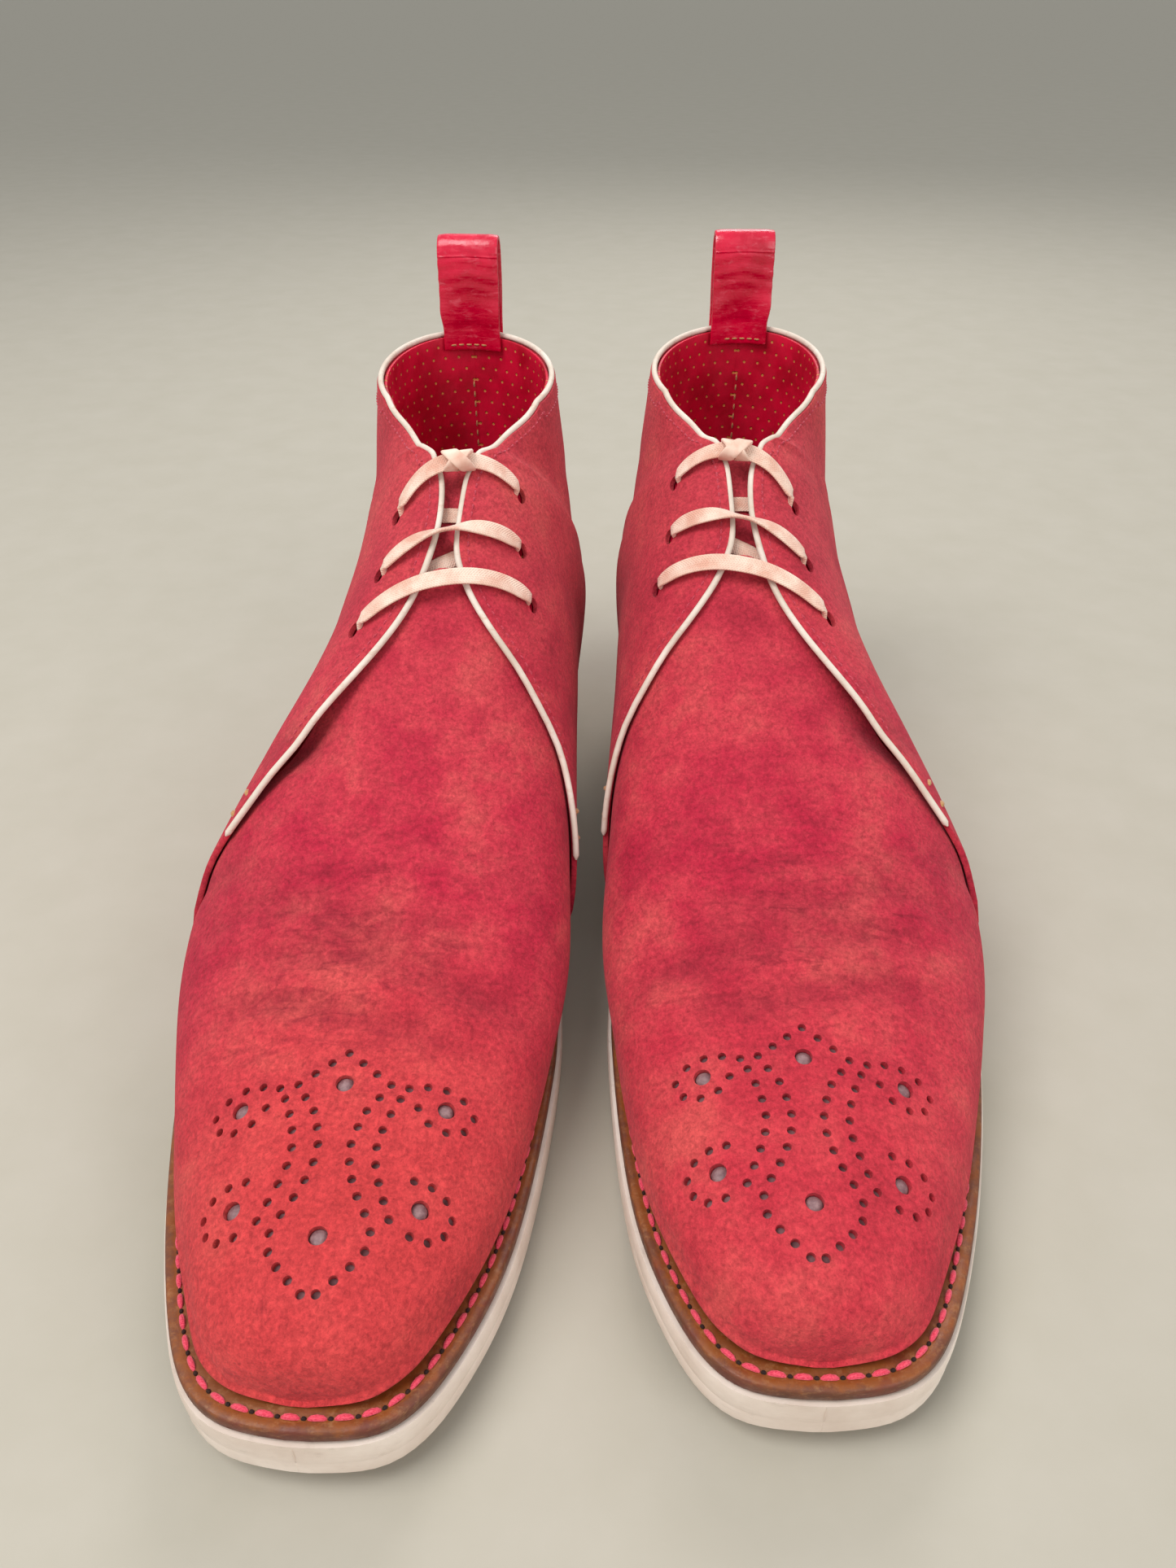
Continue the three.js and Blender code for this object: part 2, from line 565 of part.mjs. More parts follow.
function laceKnot() {
  const k = (EYELETS[1][2][0] + EYELETS[-1][2][0]) / 2;
  const knot = new THREE.SphereGeometry(1, 10, 6);
  knot.scale(5.2, 2.6, 3.6);
  const at = wall(k, 0, TOP_BUILD + CLEAR + LACE_THICK + LACE_LIFT + CLEAR + 3.2);
  return knot.rotateX(40 * DEG).translate(at.x, at.y, at.z);
}

// ---- assembly -------------------------------------------------------------------------------
const finish = (color, roughness, metalness = 0) => ({ color, roughness, metalness });
const SUEDE_RED = finish(0xc83c50, 0.95);
const LINING_RED = finish(0xb0102c, 0.6);
const CREAM = finish(0xf0ddd0, 0.85);
const BROWN = finish(0x7a4320, 0.6);
const WHITE = finish(0xe8ded0, 0.6);
const TAN = finish(0xc79a6b, 0.8);

const PIECES = [
  ['vamp', vamp, SUEDE_RED], ['vamp_lining', vampLining, LINING_RED], ['toe_puff', toePuff, TAN],
  ['quarter_outer', () => quarter(1), SUEDE_RED], ['quarter_inner', () => quarter(-1), SUEDE_RED],
  ['quarter_lining_outer', () => quarterLining(1), LINING_RED],
  ['quarter_lining_inner', () => quarterLining(-1), LINING_RED],
  ['heel_counter', heelCounter, TAN], ['tongue', tongue, SUEDE_RED],
  ['piping', piping, CREAM], ['insole_board', insole, TAN], ['sock_liner', sock, LINING_RED],
  ['cork_filler', filler, TAN], ['shank', shank, finish(0x9a9da0, 0.35, 0.9)],
  ['welt', welt, BROWN], ['welt_stitch', weltStitch, finish(0xe83c5a, 0.8)],
  ['midsole', midsole, WHITE], ['outsole', outsole, WHITE], ['heel_block', heelBlock, WHITE],
  ['top_piece', topPiece, WHITE], ['pull_loop', pullLoop, finish(0xd00838, 0.3)],
  ['loop_tab_inside', () => loopTab(TAB_INSIDE), finish(0xd00838, 0.3)],
  ['loop_tab_outside', () => loopTab(TAB_OUTSIDE), finish(0xd00838, 0.3)],
  ['lace_bottom', () => laceBar(0), CREAM], ['lace_middle', () => laceBar(1), CREAM],
  ['lace_top', () => laceBar(2), CREAM], ['lace_under_low', () => laceUnder(0), CREAM],
  ['lace_under_high', () => laceUnder(1), CREAM], ['lace_knot', laceKnot, CREAM],
];

function mirrored(geometry) {
  const g = geometry.clone();
  g.scale(-1, 1, 1);
  const order = g.index ? Array.from(g.index.array) : [...Array(g.attributes.position.count).keys()];
  const flipped = [];
  for (let i = 0; i < order.length; i += 3) flipped.push(order[i], order[i + 2], order[i + 1]);
  g.setIndex(flipped);
  return g;
}

function boot(name, shapes, place, mirror) {
  const group = new THREE.Group();
  for (const [piece, geometry, look] of shapes) {
    const mesh = new THREE.Mesh(mirror ? mirrored(geometry) : geometry,
      new THREE.MeshStandardMaterial(look));
    mesh.name = `${name}_${piece}`;
    group.add(mesh);
  }
  group.position.set(place.x, place.y, 0);
  group.rotation.z = place.turn * DEG;
  return group;
}

const shapes = PIECES.map(([piece, make, look]) => [piece, make(), look]);
const pair = new THREE.Group();
pair.add(boot('left', shapes, LEFT_PLACE, false), boot('right', shapes, RIGHT_PLACE, true));
pair.updateMatrixWorld(true);
const box = new THREE.Box3().setFromObject(pair, true);
const centre = box.getCenter(new THREE.Vector3());
pair.position.set(-centre.x, -centre.y, -box.min.z);

export default pair;
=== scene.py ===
import math

import bpy
import numpy as np
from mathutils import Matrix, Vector, kdtree


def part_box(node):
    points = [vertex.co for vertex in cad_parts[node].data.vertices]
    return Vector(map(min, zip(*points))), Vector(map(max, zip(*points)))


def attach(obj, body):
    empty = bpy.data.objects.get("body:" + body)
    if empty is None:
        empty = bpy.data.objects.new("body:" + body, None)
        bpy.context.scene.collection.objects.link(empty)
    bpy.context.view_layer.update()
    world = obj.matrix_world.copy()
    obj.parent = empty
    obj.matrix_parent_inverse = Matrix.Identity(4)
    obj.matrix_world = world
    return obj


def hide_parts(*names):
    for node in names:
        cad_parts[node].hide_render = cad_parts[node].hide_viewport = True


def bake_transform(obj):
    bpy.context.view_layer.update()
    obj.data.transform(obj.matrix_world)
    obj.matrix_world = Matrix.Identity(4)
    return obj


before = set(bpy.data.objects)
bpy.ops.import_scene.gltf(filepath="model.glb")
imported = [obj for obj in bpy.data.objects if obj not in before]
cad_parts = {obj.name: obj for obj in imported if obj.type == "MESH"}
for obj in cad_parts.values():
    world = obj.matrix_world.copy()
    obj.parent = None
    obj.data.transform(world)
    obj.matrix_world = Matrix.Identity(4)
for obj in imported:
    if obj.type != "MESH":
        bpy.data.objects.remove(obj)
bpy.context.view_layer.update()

MM = 0.001
SIDES = ("left", "right")

# ---- driving dimensions, in millimetres; the layers are those of the CAD model ---------------
CLEAR = 0.3
PLY_GAP = 0.5
LINING = 0.9
SUEDE = 1.5
STIFFENER = 1.0
TONGUE = 1.2
LACE_WIDTH = 5.5
LACE_THICK = 1.1
LACE_SHOWN = 4.7        # the lace is drawn in a little where it is pulled tight
LACE_LIFT = 1.8
PIPING = 2.2
PIPING_SHOWN = 1.7      # the part of the rolled edge that stands clear of the suede
WELT = 3.5
MIDSOLE = 5.5
OUTSOLE = 3.9
SOLE_EXTENSION = 4.4
SOCK = 1.2
TOP_PIECE = 4.0
HEEL_LENGTH = 74.0
LOOP_WIDTH = 18.5
LOOP_THICK = 1.6
LOOP_HEIGHT = 31.0
LOOP_GAP = 6.2
GAPE = 1.3              # how far the outer facing's foot stands off the vamp
SAG = 3.2               # how far the vamp has sunk away below it
SMALL_HOLE = 0.95       # radii of the punched holes
LARGE_HOLE = 1.95
EYELET_LONG = 2.4       # radii of an eyelet slot, along the facing and across it
EYELET_WIDE = 1.7
TONGUE_HALF = 33.0      # half width of the tongue, in degrees round the section
SOCK_INSET = 7.8        # from the feather line to the edge of the sock liner
DOT_ACROSS = 4.6        # spacing of the lining's dots
DOT_UP = 3.8
STRAP_LONG = 95.0       # flat length of the strap, for its creases and UV
LEFT_PLACE = (48.0, 0.0, 0.0)       # x, y and turn in degrees
RIGHT_PLACE = (-35.0, -8.0, -4.2)
UP = np.array([0.0, 0.0, 1.0])

# Stitches: pitch, length and radius of the thread.
EDGE_STITCH = (2.3, 1.6, 0.26)
BACK_STITCH = (2.6, 1.8, 0.26)
LINING_STITCH = (3.4, 2.2, 0.3)
STRAP_STITCH = (2.5, 1.8, 0.28)
WELT_STITCH = (5.0, 3.6, 0.62)

# ---- small mathematics ----------------------------------------------------------------------


def lerp(a, b, t):
    return a + (b - a) * t


def smooth(a, b, v):
    t = np.clip((np.asarray(v, float) - a) / (b - a), 0, 1)
    return t * t * (3 - 2 * t)


def unit(v):
    return v / np.maximum(np.linalg.norm(v, axis=-1, keepdims=True), 1e-12)


def square_to(v, axis):
    """The direction of v with what lies along the axis taken out."""
    return unit(v - axis * np.sum(v * axis, -1, keepdims=True))


def row_curve(rows):
    """A smooth curve through rows of numbers, one row for each whole number of t."""
    rows = np.array(rows, float)
    n = len(rows)
    system = np.zeros((n, n))
    right = np.zeros_like(rows)
    for i in range(1, n - 1):
        system[i, i - 1:i + 2] = 1, 4, 1
        right[i] = 3 * (rows[i + 1] - rows[i - 1])
    system[0, :2] = system[-1, :-3:-1] = 2, 1
    right[0] = 3 * (rows[1] - rows[0])
    right[-1] = 3 * (rows[-1] - rows[-2])
    slopes = np.linalg.solve(system, right)

    def curve(t):
        t = np.asarray(t, float)
        i = np.clip(np.floor(t).astype(int), 0, n - 2)
        u = (t - i)[..., None]
        rise = 3 * u**2 - 2 * u**3
        return ((1 - rise) * rows[i] + (u**3 - 2 * u**2 + u) * slopes[i]
                + rise * rows[i + 1] + (u**3 - u**2) * slopes[i + 1])
    return curve


def point_curve(points):
    """A smooth value over [t, value] points whose t need not be evenly spaced."""
    fine = row_curve(points)(np.linspace(0, len(points) - 1, 1600))
    return lambda t: np.interp(t, fine[:, 0], fine[:, 1])


# ---- the shape of the boot, as in the CAD model ---------------------------------------------
seat = point_curve([[-30, 27.4], [0, 27.4], [35, 26.8], [75, 24.2], [118, 19.2], [156, 15.2],
                    [188, 13.57], [216, 13.67], [244, 14.6], [268, 16.8], [286, 18.6],
                    [300, 19.8], [325, 22]])

# Sections from the toe tip to the collar: base s and height above the seat, ridge s and z,
# half width, base x, ridge x, and the angle where the arch is cut.
LAST = [
    [300.0, 0, 300.0, 20.6, 1.5, -3.0, -3.0, 106],
    [298.6, 0, 299.2, 29.5, 12.5, -3.0, -3.5, 106],
    [294.5, 0, 295.0, 35.5, 19.5, -2.5, -4.0, 106],
    [286.0, 0, 286.0, 39.0, 25.5, -2.0, -4.0, 107],
    [268.0, 0, 267.0, 42.0, 33.5, -1.0, -3.0, 110],
    [244.0, 0, 242.0, 46.0, 41.0, 1.5, -1.0, 113],
    [216.0, 0, 213.0, 53.5, 48.0, 4.5, 1.0, 117],
    [188.0, 0, 184.0, 66.5, 51.0, 6.5, 2.0, 119],
    [156.0, 0, 157.0, 84.5, 47.0, 5.5, 0.0, 120],
    [118.0, 0, 133.0, 102.5, 40.5, 2.0, -4.0, 120],
    [70.0, 0, 115.0, 116.0, 37.0, 0.5, -6.0, 121],
    [24.0, 0, 103.0, 124.5, 36.0, 0.5, -6.0, 134],
    [3.0, 0, 96.0, 129.0, 34.5, 1.0, -5.5, 158],
    [-0.8, 0, 93.8, 130.3, 33.6, 1.2, -5.3, 171],
    [-1.9, 2, 92.8, 130.8, 33.2, 1.4, -5.2, 179],
    [-2.5, 20, 91.2, 131.4, 31.6, 1.8, -5.0, 180],
    [1.0, 65, 88.0, 132.6, 29.3, 2.2, -5.0, 180],
    [4.0, 110, 85.0, 133.5, 27.3, 2.6, -5.0, 180],
]
COLLAR = len(LAST) - 1
HEEL_ROW = 14
TOP_BUILD = LINING + STIFFENER + 2 * SUEDE + 3 * PLY_GAP
VAMP_DEPTH = TOP_BUILD - SUEDE - PLY_GAP - SUEDE
QUARTER_DEPTH = TOP_BUILD - SUEDE
LINING_DEEP = VAMP_DEPTH - PLY_GAP - LINING
LINING_RAISED = QUARTER_DEPTH - PLY_GAP - 0.15 - LINING
TONGUE_FACE = LINING_DEEP - PLY_GAP
last_curve = row_curve(LAST)


def section(k):
    rows = last_curve(np.clip(k, 0, COLLAR))
    base_s, base_up, ridge_s, ridge_z, half, base_x, ridge_x, cut = np.moveaxis(rows, -1, 0)
    base_z = seat(base_s) + CLEAR + np.maximum(0, base_up)
    return base_s, base_z, ridge_s, ridge_z, half, base_x, ridge_x, np.minimum(cut, 180)


def cut_at(k):
    return section(k)[-1]


def outer(k, a):
    """A point of the outer face; a is in degrees round the section from the ridge."""
    base_s, base_z, ridge_s, ridge_z, half, base_x, ridge_x, cut = section(k)
    low = np.cos(np.radians(cut))
    h = (np.cos(np.radians(a)) - low) / (1 - low)
    side = np.sin(np.radians(a))
    x = lerp(base_x, ridge_x, h) + half * np.sign(side) * np.abs(side) ** 0.94
    return np.stack([x, -lerp(base_s, ridge_s, h), lerp(base_z, ridge_z, h)], -1)


def outward(k, a):
    k = np.asarray(k, float)
    along = outer(np.minimum(COLLAR, k + 0.02), a) - outer(np.maximum(0, k - 0.02), a)
    around = outer(k, np.asarray(a) + 1) - outer(k, np.asarray(a) - 1)
    return unit(-np.cross(along, around))


# Creases of the worn upper: section, angle, length along k and a, and depth in millimetres.
CREASES = [
    (5.55, 8, 0.12, 40, 1.0), (5.95, -12, 0.13, 50, 1.2), (6.4, 16, 0.13, 42, 0.9),
    (6.75, 30, 0.13, 32, 0.45), (7.1, 64, 0.14, 24, 0.70), (6.9, -52, 0.13, 26, 0.45),
    (7.95, 40, 0.16, 16, 0.70), (9.6, 78, 0.30, 22, 0.60), (10.6, 84, 0.35, 26, 0.55),
    (10.2, -80, 0.30, 24, 0.55), (11.6, -96, 0.30, 26, 0.50), (15.2, 120, 0.22, 40, 0.55),
    (15.6, -125, 0.22, 44, 0.50), (14.7, 165, 0.20, 40, 0.45),
]


def bend_of(a, k0, a0):
    """The section at which a crease runs, at angle a."""
    return k0 + 0.0035 * (a - a0) + 0.04 * np.sin((a - a0) / 9)


def crease_shade(k, a):
    """Painted shade on the suede, from 0 to 1: most in the bottoms of the creases."""
    k, a = np.broadcast_arrays(np.asarray(k, float), np.asarray(a, float))
    dark = np.zeros_like(k)
    for k0, a0, long_k, long_a, deep in CREASES:
        near = np.exp(-((a - a0) / long_a) ** 4)
        dark += deep * near * np.exp(-((k - bend_of(a, k0, a0)) / (1.2 * long_k)) ** 2)
    return np.clip(dark, 0, 1)[..., None]


def relief(k, a):
    """How far the worn upper stands out from or falls in from the last."""
    swell = 0.35 * np.sin(2.1 * k + 0.045 * a) * np.sin(0.06 * a + 0.7 * k)
    dent = np.zeros_like(swell)
    for k0, a0, long_k, long_a, deep in CREASES:
        bent = bend_of(a, k0, a0)
        near = np.exp(-((a - a0) / long_a) ** 4)
        dent += deep * near * (0.45 * np.exp(-((k - bent) / (3 * long_k)) ** 2)
                               - np.exp(-((k - bent) / long_k) ** 2))
    free = smooth(0, 16, cut_at(k) - np.abs(a)) + smooth(14, 14.6, k)
    throat = 0.65 * np.exp(-((k - 14.4) / 0.8) ** 2) * smooth(50, 20, np.abs(a))
    toe = 1.1 * np.exp(-((cut_at(k) - np.abs(a) - 13) / 7) ** 2) * smooth(7.5, 5, k)
    calm = smooth(4.9, 5.7, k) * smooth(COLLAR, 16.2, k)
    ends = smooth(0.5, 3, k) * smooth(COLLAR, 16.4, k)
    return (swell * ends + dent * calm + toe) * np.clip(free, 0, 1) + throat


def wall(k, a, depth):
    """A point of the wall, at a depth counted outwards from the inside of the lining."""
    k, a = np.broadcast_arrays(np.asarray(k, float), np.asarray(a, float))
    rise = depth + relief(k, a) - TOP_BUILD
    return outer(k, a) + outward(k, a) * np.asarray(rise)[..., None]


THROAT = [[9.8, 5.5], [10.5, 5.5], [11.2, 7], [11.6, 9.2], [12.2, 11], [13, 13.2], [14, 16],
          [15, 20.5], [16, 29], [16.6, 41], [17, 57]]
LINING_THROAT = [[k, a + 1] for k, a in THROAT]
facing_edge = {
    1: point_curve([[7, 112], [7.15, 88], [7.3, 70], [7.47, 54], [7.66, 44], [7.88, 35],
                    [8.15, 26.5], [8.46, 18], [8.8, 11.5], [9.2, 7.5], *THROAT]),
    -1: point_curve([[7.5, 118], [7.75, 96], [8, 80], [8.25, 68], [8.42, 59], [8.55, 47],
                     [8.7, 36], [8.87, 25], [9.15, 14.5], [9.45, 8.5], *THROAT]),
}
lining_edge = {
    1: point_curve([[7.52, 120], [7.62, 90], [7.74, 70], [7.92, 54], [8.12, 44], [8.32, 35],
                    [8.59, 26], [8.9, 18], [9.27, 10.5], [9.55, 8], *LINING_THROAT]),
    -1: point_curve([[8.02, 120], [8.22, 90], [8.42, 78], [8.62, 69], [8.8, 59], [8.92, 46],
                     [9.05, 36], [9.24, 25], [9.47, 14], [9.62, 8.5], *LINING_THROAT]),
}
QUARTER_START = {1: 7.12, -1: 7.7}
LINING_START = {1: 7.54, -1: 8.04}
PIPING_START = {1: 7.42, -1: 7.9}
vamp_edge = point_curve([[-120, 7.9], [-90, 8.1], [-78, 8.3], [-69, 8.5], [-59, 8.68],
                         [-46, 8.8], [-36, 8.93], [-25, 9.12], [-14, 9.35], [-5, 9.45],
                         [3, 9.42], [10, 9.15], [18, 8.78], [26, 8.47], [35, 8.2], [44, 8],
                         [54, 7.8], [70, 7.62], [90, 7.5], [120, 7.4]])
EYELETS = {1: [[8.9, 26.5], [9.5, 23.5], [10.4, 22.5]],
           -1: [[9.45, 37], [10.06, 30], [11.1, 27.5]]}


def gape(k, a):
    """Lift of the front edge of the outer quarter, which stands a little off the vamp."""
    edge = facing_edge[1](k)
    return GAPE * np.exp(-((k - 8.2) / 0.55) ** 2) * smooth(18, 0, a - edge) * (a > 0)


def sag(k, a):
    """How far the vamp has sunk away from the lower end of the outer facing."""
    return SAG * np.exp(-((k - 8.0) / 0.32) ** 2 - ((a - 37) / 18) ** 2)


def lining_depth(k, a):
    rise = np.maximum(smooth(58, 46, np.abs(a)), smooth(15.4, 16.4, k))
    return lerp(LINING_DEEP, LINING_RAISED, rise)


# ---- placing pieces on both boots -----------------------------------------------------------
collar_back = outer(COLLAR, 180)
TAB_INSIDE = LINING_RAISED - CLEAR - 0.15 - LOOP_THICK
TAB_OUTSIDE = TOP_BUILD + CLEAR
TAB_TOP = collar_back[2] + CLEAR + PIPING + CLEAR
loop_front = wall(COLLAR, 180, TAB_INSIDE + LOOP_THICK / 2)[1]
loop_back = wall(COLLAR, 180, TAB_OUTSIDE + LOOP_THICK / 2)[1]
LOOP_MIDDLE = (loop_front + loop_back) / 2
loop_low, loop_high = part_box("left_pull_loop")
shift = np.array([
    (loop_low.x + loop_high.x) / 2 / MM - collar_back[0] - LEFT_PLACE[0],
    (loop_low.y + loop_high.y) / 2 / MM - LOOP_MIDDLE - LEFT_PLACE[1],
    loop_high.z / MM - collar_back[2] - LOOP_HEIGHT,
])


def place(points, side):
    """Points of a boot in its own millimetres, moved to where that boot stands, in metres."""
    p = np.array(points, float).reshape(-1, 3)
    x, y, turn = LEFT_PLACE if side == "left" else RIGHT_PLACE
    if side == "right":
        p[:, 0] *= -1
    c, s = math.cos(math.radians(turn)), math.sin(math.radians(turn))
    p = p @ np.array([[c, s, 0], [-s, c, 0], [0, 0, 1]])
    return (p + (x, y, 0) + shift) * MM


def new_object(name, data):
    thing = bpy.data.objects.new(name, data)
    bpy.context.scene.collection.objects.link(thing)
    return thing


def new_mesh(name, points, faces, extra=None):
    """A mesh; extra holds a UV pair for each point, or one column of painted crease shade."""
    mesh = bpy.data.meshes.new(name)
    mesh.from_pydata([tuple(p) for p in points], [], faces)
    if extra is not None and extra.shape[1] == 2:
        layer = mesh.uv_layers.new(name="UVMap")
        corner = np.zeros(len(mesh.loops), int)
        mesh.loops.foreach_get("vertex_index", corner)
        layer.data.foreach_set("uv", np.asarray(extra, np.float32)[corner].ravel())
    elif extra is not None:
        layer = mesh.attributes.new("crease_shade", "FLOAT", "POINT")
        layer.data.foreach_set("value", np.asarray(extra, np.float32).ravel())
    mesh.validate()
    mesh.update()
    return mesh


def turned_out(points, faces):
    """The faces, turned over if they look inwards."""
    p = np.asarray(points)
    volume = sum(np.dot(p[f[0]], np.cross(p[f[i]], p[f[i + 1]]))
                 for f in faces for i in range(1, len(f) - 1))
    return faces if volume > 0 else [f[::-1] for f in faces]


def add_pair(name, shape, look, nodes=(), body="boot", sharp=35):
    """The same piece on the left boot and, mirrored, on the right one."""
    points, faces, *rest = shape
    extra = rest[0] if rest else None
    faces = turned_out(points, faces)
    for side in SIDES:
        order = faces if side == "left" else [f[::-1] for f in faces]
        mesh = new_mesh(f"{side}.{name}", place(points, side), order, extra)
        mesh.shade_smooth()
        mesh.set_sharp_from_angle(angle=math.radians(sharp))
        mesh.materials.append(look[side] if isinstance(look, dict) else look)
        piece = new_object(f"{side}.{name}", mesh)
        if body == "strap":
            start, end = place([[collar_back[0], LOOP_MIDDLE, TAB_TOP - 2.5],
                                [collar_back[0], LOOP_MIDDLE, TAB_TOP + 6]], side)
            tuple(start)
            tuple(end)
            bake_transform(piece)
        else:
            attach(piece, f"{side}_{body}")
        if nodes:
            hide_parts(*[f"{side}_{n}" for n in nodes])


# ---- shapes ---------------------------------------------------------------------------------


def rim_of(rows, cols):
    """Row and column of each point round the border of a grid, in order."""
    return ([(0, j) for j in range(cols)] + [(i, cols - 1) for i in range(1, rows)]
            + [(rows - 1, j) for j in range(cols - 2, -1, -1)]
            + [(i, 0) for i in range(rows - 2, 0, -1)])


def slab(top, bottom, extra=None, bulge=0.8):
    """A closed sheet between two grids of points, with its cut edges rounded."""
    rows, cols = top.shape[:2]
    n = rows * cols
    i, j = np.array(rim_of(rows, cols)).T
    ids = i * cols + j
    inner = np.clip(i, 1, rows - 2) * cols + np.clip(j, 1, cols - 2)
    t, b = top.reshape(-1, 3), bottom.reshape(-1, 3)
    middle, half = (t[ids] + b[ids]) / 2, (t[ids] - b[ids]) / 2
    out = middle - (t[inner] + b[inner]) / 2
    out = square_to(out, unit(half)) * np.linalg.norm(half, axis=-1, keepdims=True) * bulge
    rings = [middle + half * math.cos(w) + out * math.sin(w)
             for w in np.radians([40, 75, 105, 140])]
    points = np.concatenate([t, b, *rings])
    at = np.arange(n).reshape(rows, cols)
    quads = np.stack([at[:-1, :-1], at[1:, :-1], at[1:, 1:], at[:-1, 1:]], -1).reshape(-1, 4)
    faces = [*quads.tolist(), *(quads[:, ::-1] + n).tolist()]
    turn = len(ids)
    loops = [ids, *[2 * n + r * turn + np.arange(turn) for r in range(len(rings))], ids + n]
    for a, c in zip(loops, loops[1:]):
        faces += np.stack([a, np.roll(a, -1), np.roll(c, -1), c], -1).tolist()
    if extra is None:
        return points, faces
    flat = extra.reshape(-1, extra.shape[-1])
    return points, faces, np.concatenate([flat, flat, *[flat[ids]] * len(rings)])


def sweep(rings, closed=False, uv=None):
    """A skin over rings of points, one after the other, with the two end rings capped."""
    rows, cols = rings.shape[:2]
    at = np.arange(rows * cols).reshape(rows, cols)
    if closed:
        at = np.vstack([at, at[:1]])
    wrap = np.roll(at, -1, axis=1)
    faces = np.stack([at[:-1], at[1:], wrap[1:], wrap[:-1]], -1).reshape(-1, 4).tolist()
    if not closed:
        faces += [at[0].tolist(), at[-1][::-1].tolist()]
    shape = (rings.reshape(-1, 3), faces)
    return shape if uv is None else (*shape, uv.reshape(-1, 2))


def joined(shapes):
    """One shape out of many."""
    points, faces, base = [], [], 0
    for p, f, *_ in shapes:
        f = turned_out(p, f)
        points.append(p)
        faces += [[i + base for i in face] for face in f]
        base += len(p)
    return np.concatenate(points), faces


def steps_of(path):
    return unit(np.gradient(path, axis=0))


def run_length(path):
    """Distance along a list of points, from the first one to each."""
    return np.concatenate([[0], np.cumsum(np.linalg.norm(np.diff(path, axis=0), axis=1))])


def at_distances(path, far, spots):
    """The columns of a path at the given distances along it."""
    return np.stack([np.interp(spots, far, column) for column in path.T], -1)


def evenly(k, points, count):
    """Values of k at equal distances along the points that belong to them."""
    far = run_length(points)
    return np.interp(np.linspace(0, far[-1], count), far, k)


def paired(u, v):
    """Two values for each place of their common grid, as UV."""
    return np.stack(np.broadcast_arrays(u, v), -1)


def resampled(path, count):
    far = run_length(path)
    return at_distances(path, far, np.linspace(0, far[-1], count))


def circle(sides):
    """Cosines and sines of evenly spaced angles."""
    w = np.arange(sides) * 2 * math.pi / sides
    return np.cos(w), np.sin(w)


def tube(path, radius):
    """A round cord along a list of points, with rounded ends."""
    run = steps_of(path)
    across = unit(np.cross(run, UP))
    for i in range(1, len(across)):
        if np.dot(across[i], across[i - 1]) < 0:
            across[i] *= -1
    lift = unit(np.cross(across, run))
    far = run_length(path)
    near = np.minimum(far, far[-1] - far) / 1.2
    size = radius * np.sqrt(np.clip(1 - (1 - np.minimum(near, 1)) ** 2, 0.06, 1))
    cos, sin = circle(12)
    ring = across[:, None] * cos[None, :, None] + lift[:, None] * sin[None, :, None]
    return sweep(path[:, None] + ring * size[:, None, None])


def ribbon(path, across, width, thick, gather=0.0):
    """A flat woven tape along a list of points, with rounded selvedges.

    Its ends are gathered to a smaller width and a greater thickness by the share in gather.
    """
    run = steps_of(path)
    wide = square_to(across, run)
    up = unit(np.cross(run, wide))
    cos, sin = circle(16)
    cu = np.sign(cos) * np.abs(cos) ** 0.55 * width / 2
    cv = np.sign(sin) * np.abs(sin) ** 0.8 * thick / 2
    cup = 0.05 * width * (cos ** 2 - 0.5)
    far = run_length(path)
    drawn = gather * smooth(9, 1.5, np.minimum(far, far[-1] - far))
    narrow, thicker = 1 - drawn, 1 + 0.9 * drawn
    rings = (path[:, None] + wide[:, None] * (cu * narrow[:, None])[..., None]
             + up[:, None] * (cv * thicker[:, None] - cup)[..., None])
    return sweep(rings, uv=paired(far[:, None], cu[None, :]))


def stitch(a, b, up, radius):
    """One stitch of thread that arches a little between two points."""
    run = unit(b - a)
    side = unit(np.cross(run, up))
    rise = np.cross(side, run)
    cos, sin = circle(8)
    ring = radius * (cos[:, None] * side + sin[:, None] * rise)
    profile = ((0, 0.35, -0.5), (0.18, 0.85, 0), (0.5, 1, 0.25), (0.82, 0.85, 0), (1, 0.35, -0.5))
    return sweep(np.array([lerp(a, b, t) + rise * lift * radius + size * ring
                           for t, size, lift in profile]))


def seam(path, ups, pitch, length, radius):
    """A row of stitches along a list of points."""
    both = resampled(np.hstack([path, ups]), 4 * len(path))
    far = run_length(both[:, :3])
    made = []
    for n in range(int(far[-1] / pitch)):
        ends = at_distances(both, far, [n * pitch, n * pitch + length])
        made.append(stitch(ends[0, :3], ends[1, :3], unit(ends[0, 3:] + ends[1, 3:]), radius))
    return joined(made)


def peg(centre, along, axis, r_along, r_across, reach):
    """A round or oval cutter through a sheet."""
    cos, sin = circle(18)
    ring = along * cos[:, None] * r_along + np.cross(axis, along) * sin[:, None] * r_across
    return sweep(np.array([centre - axis * reach + ring, centre + axis * reach + ring]))


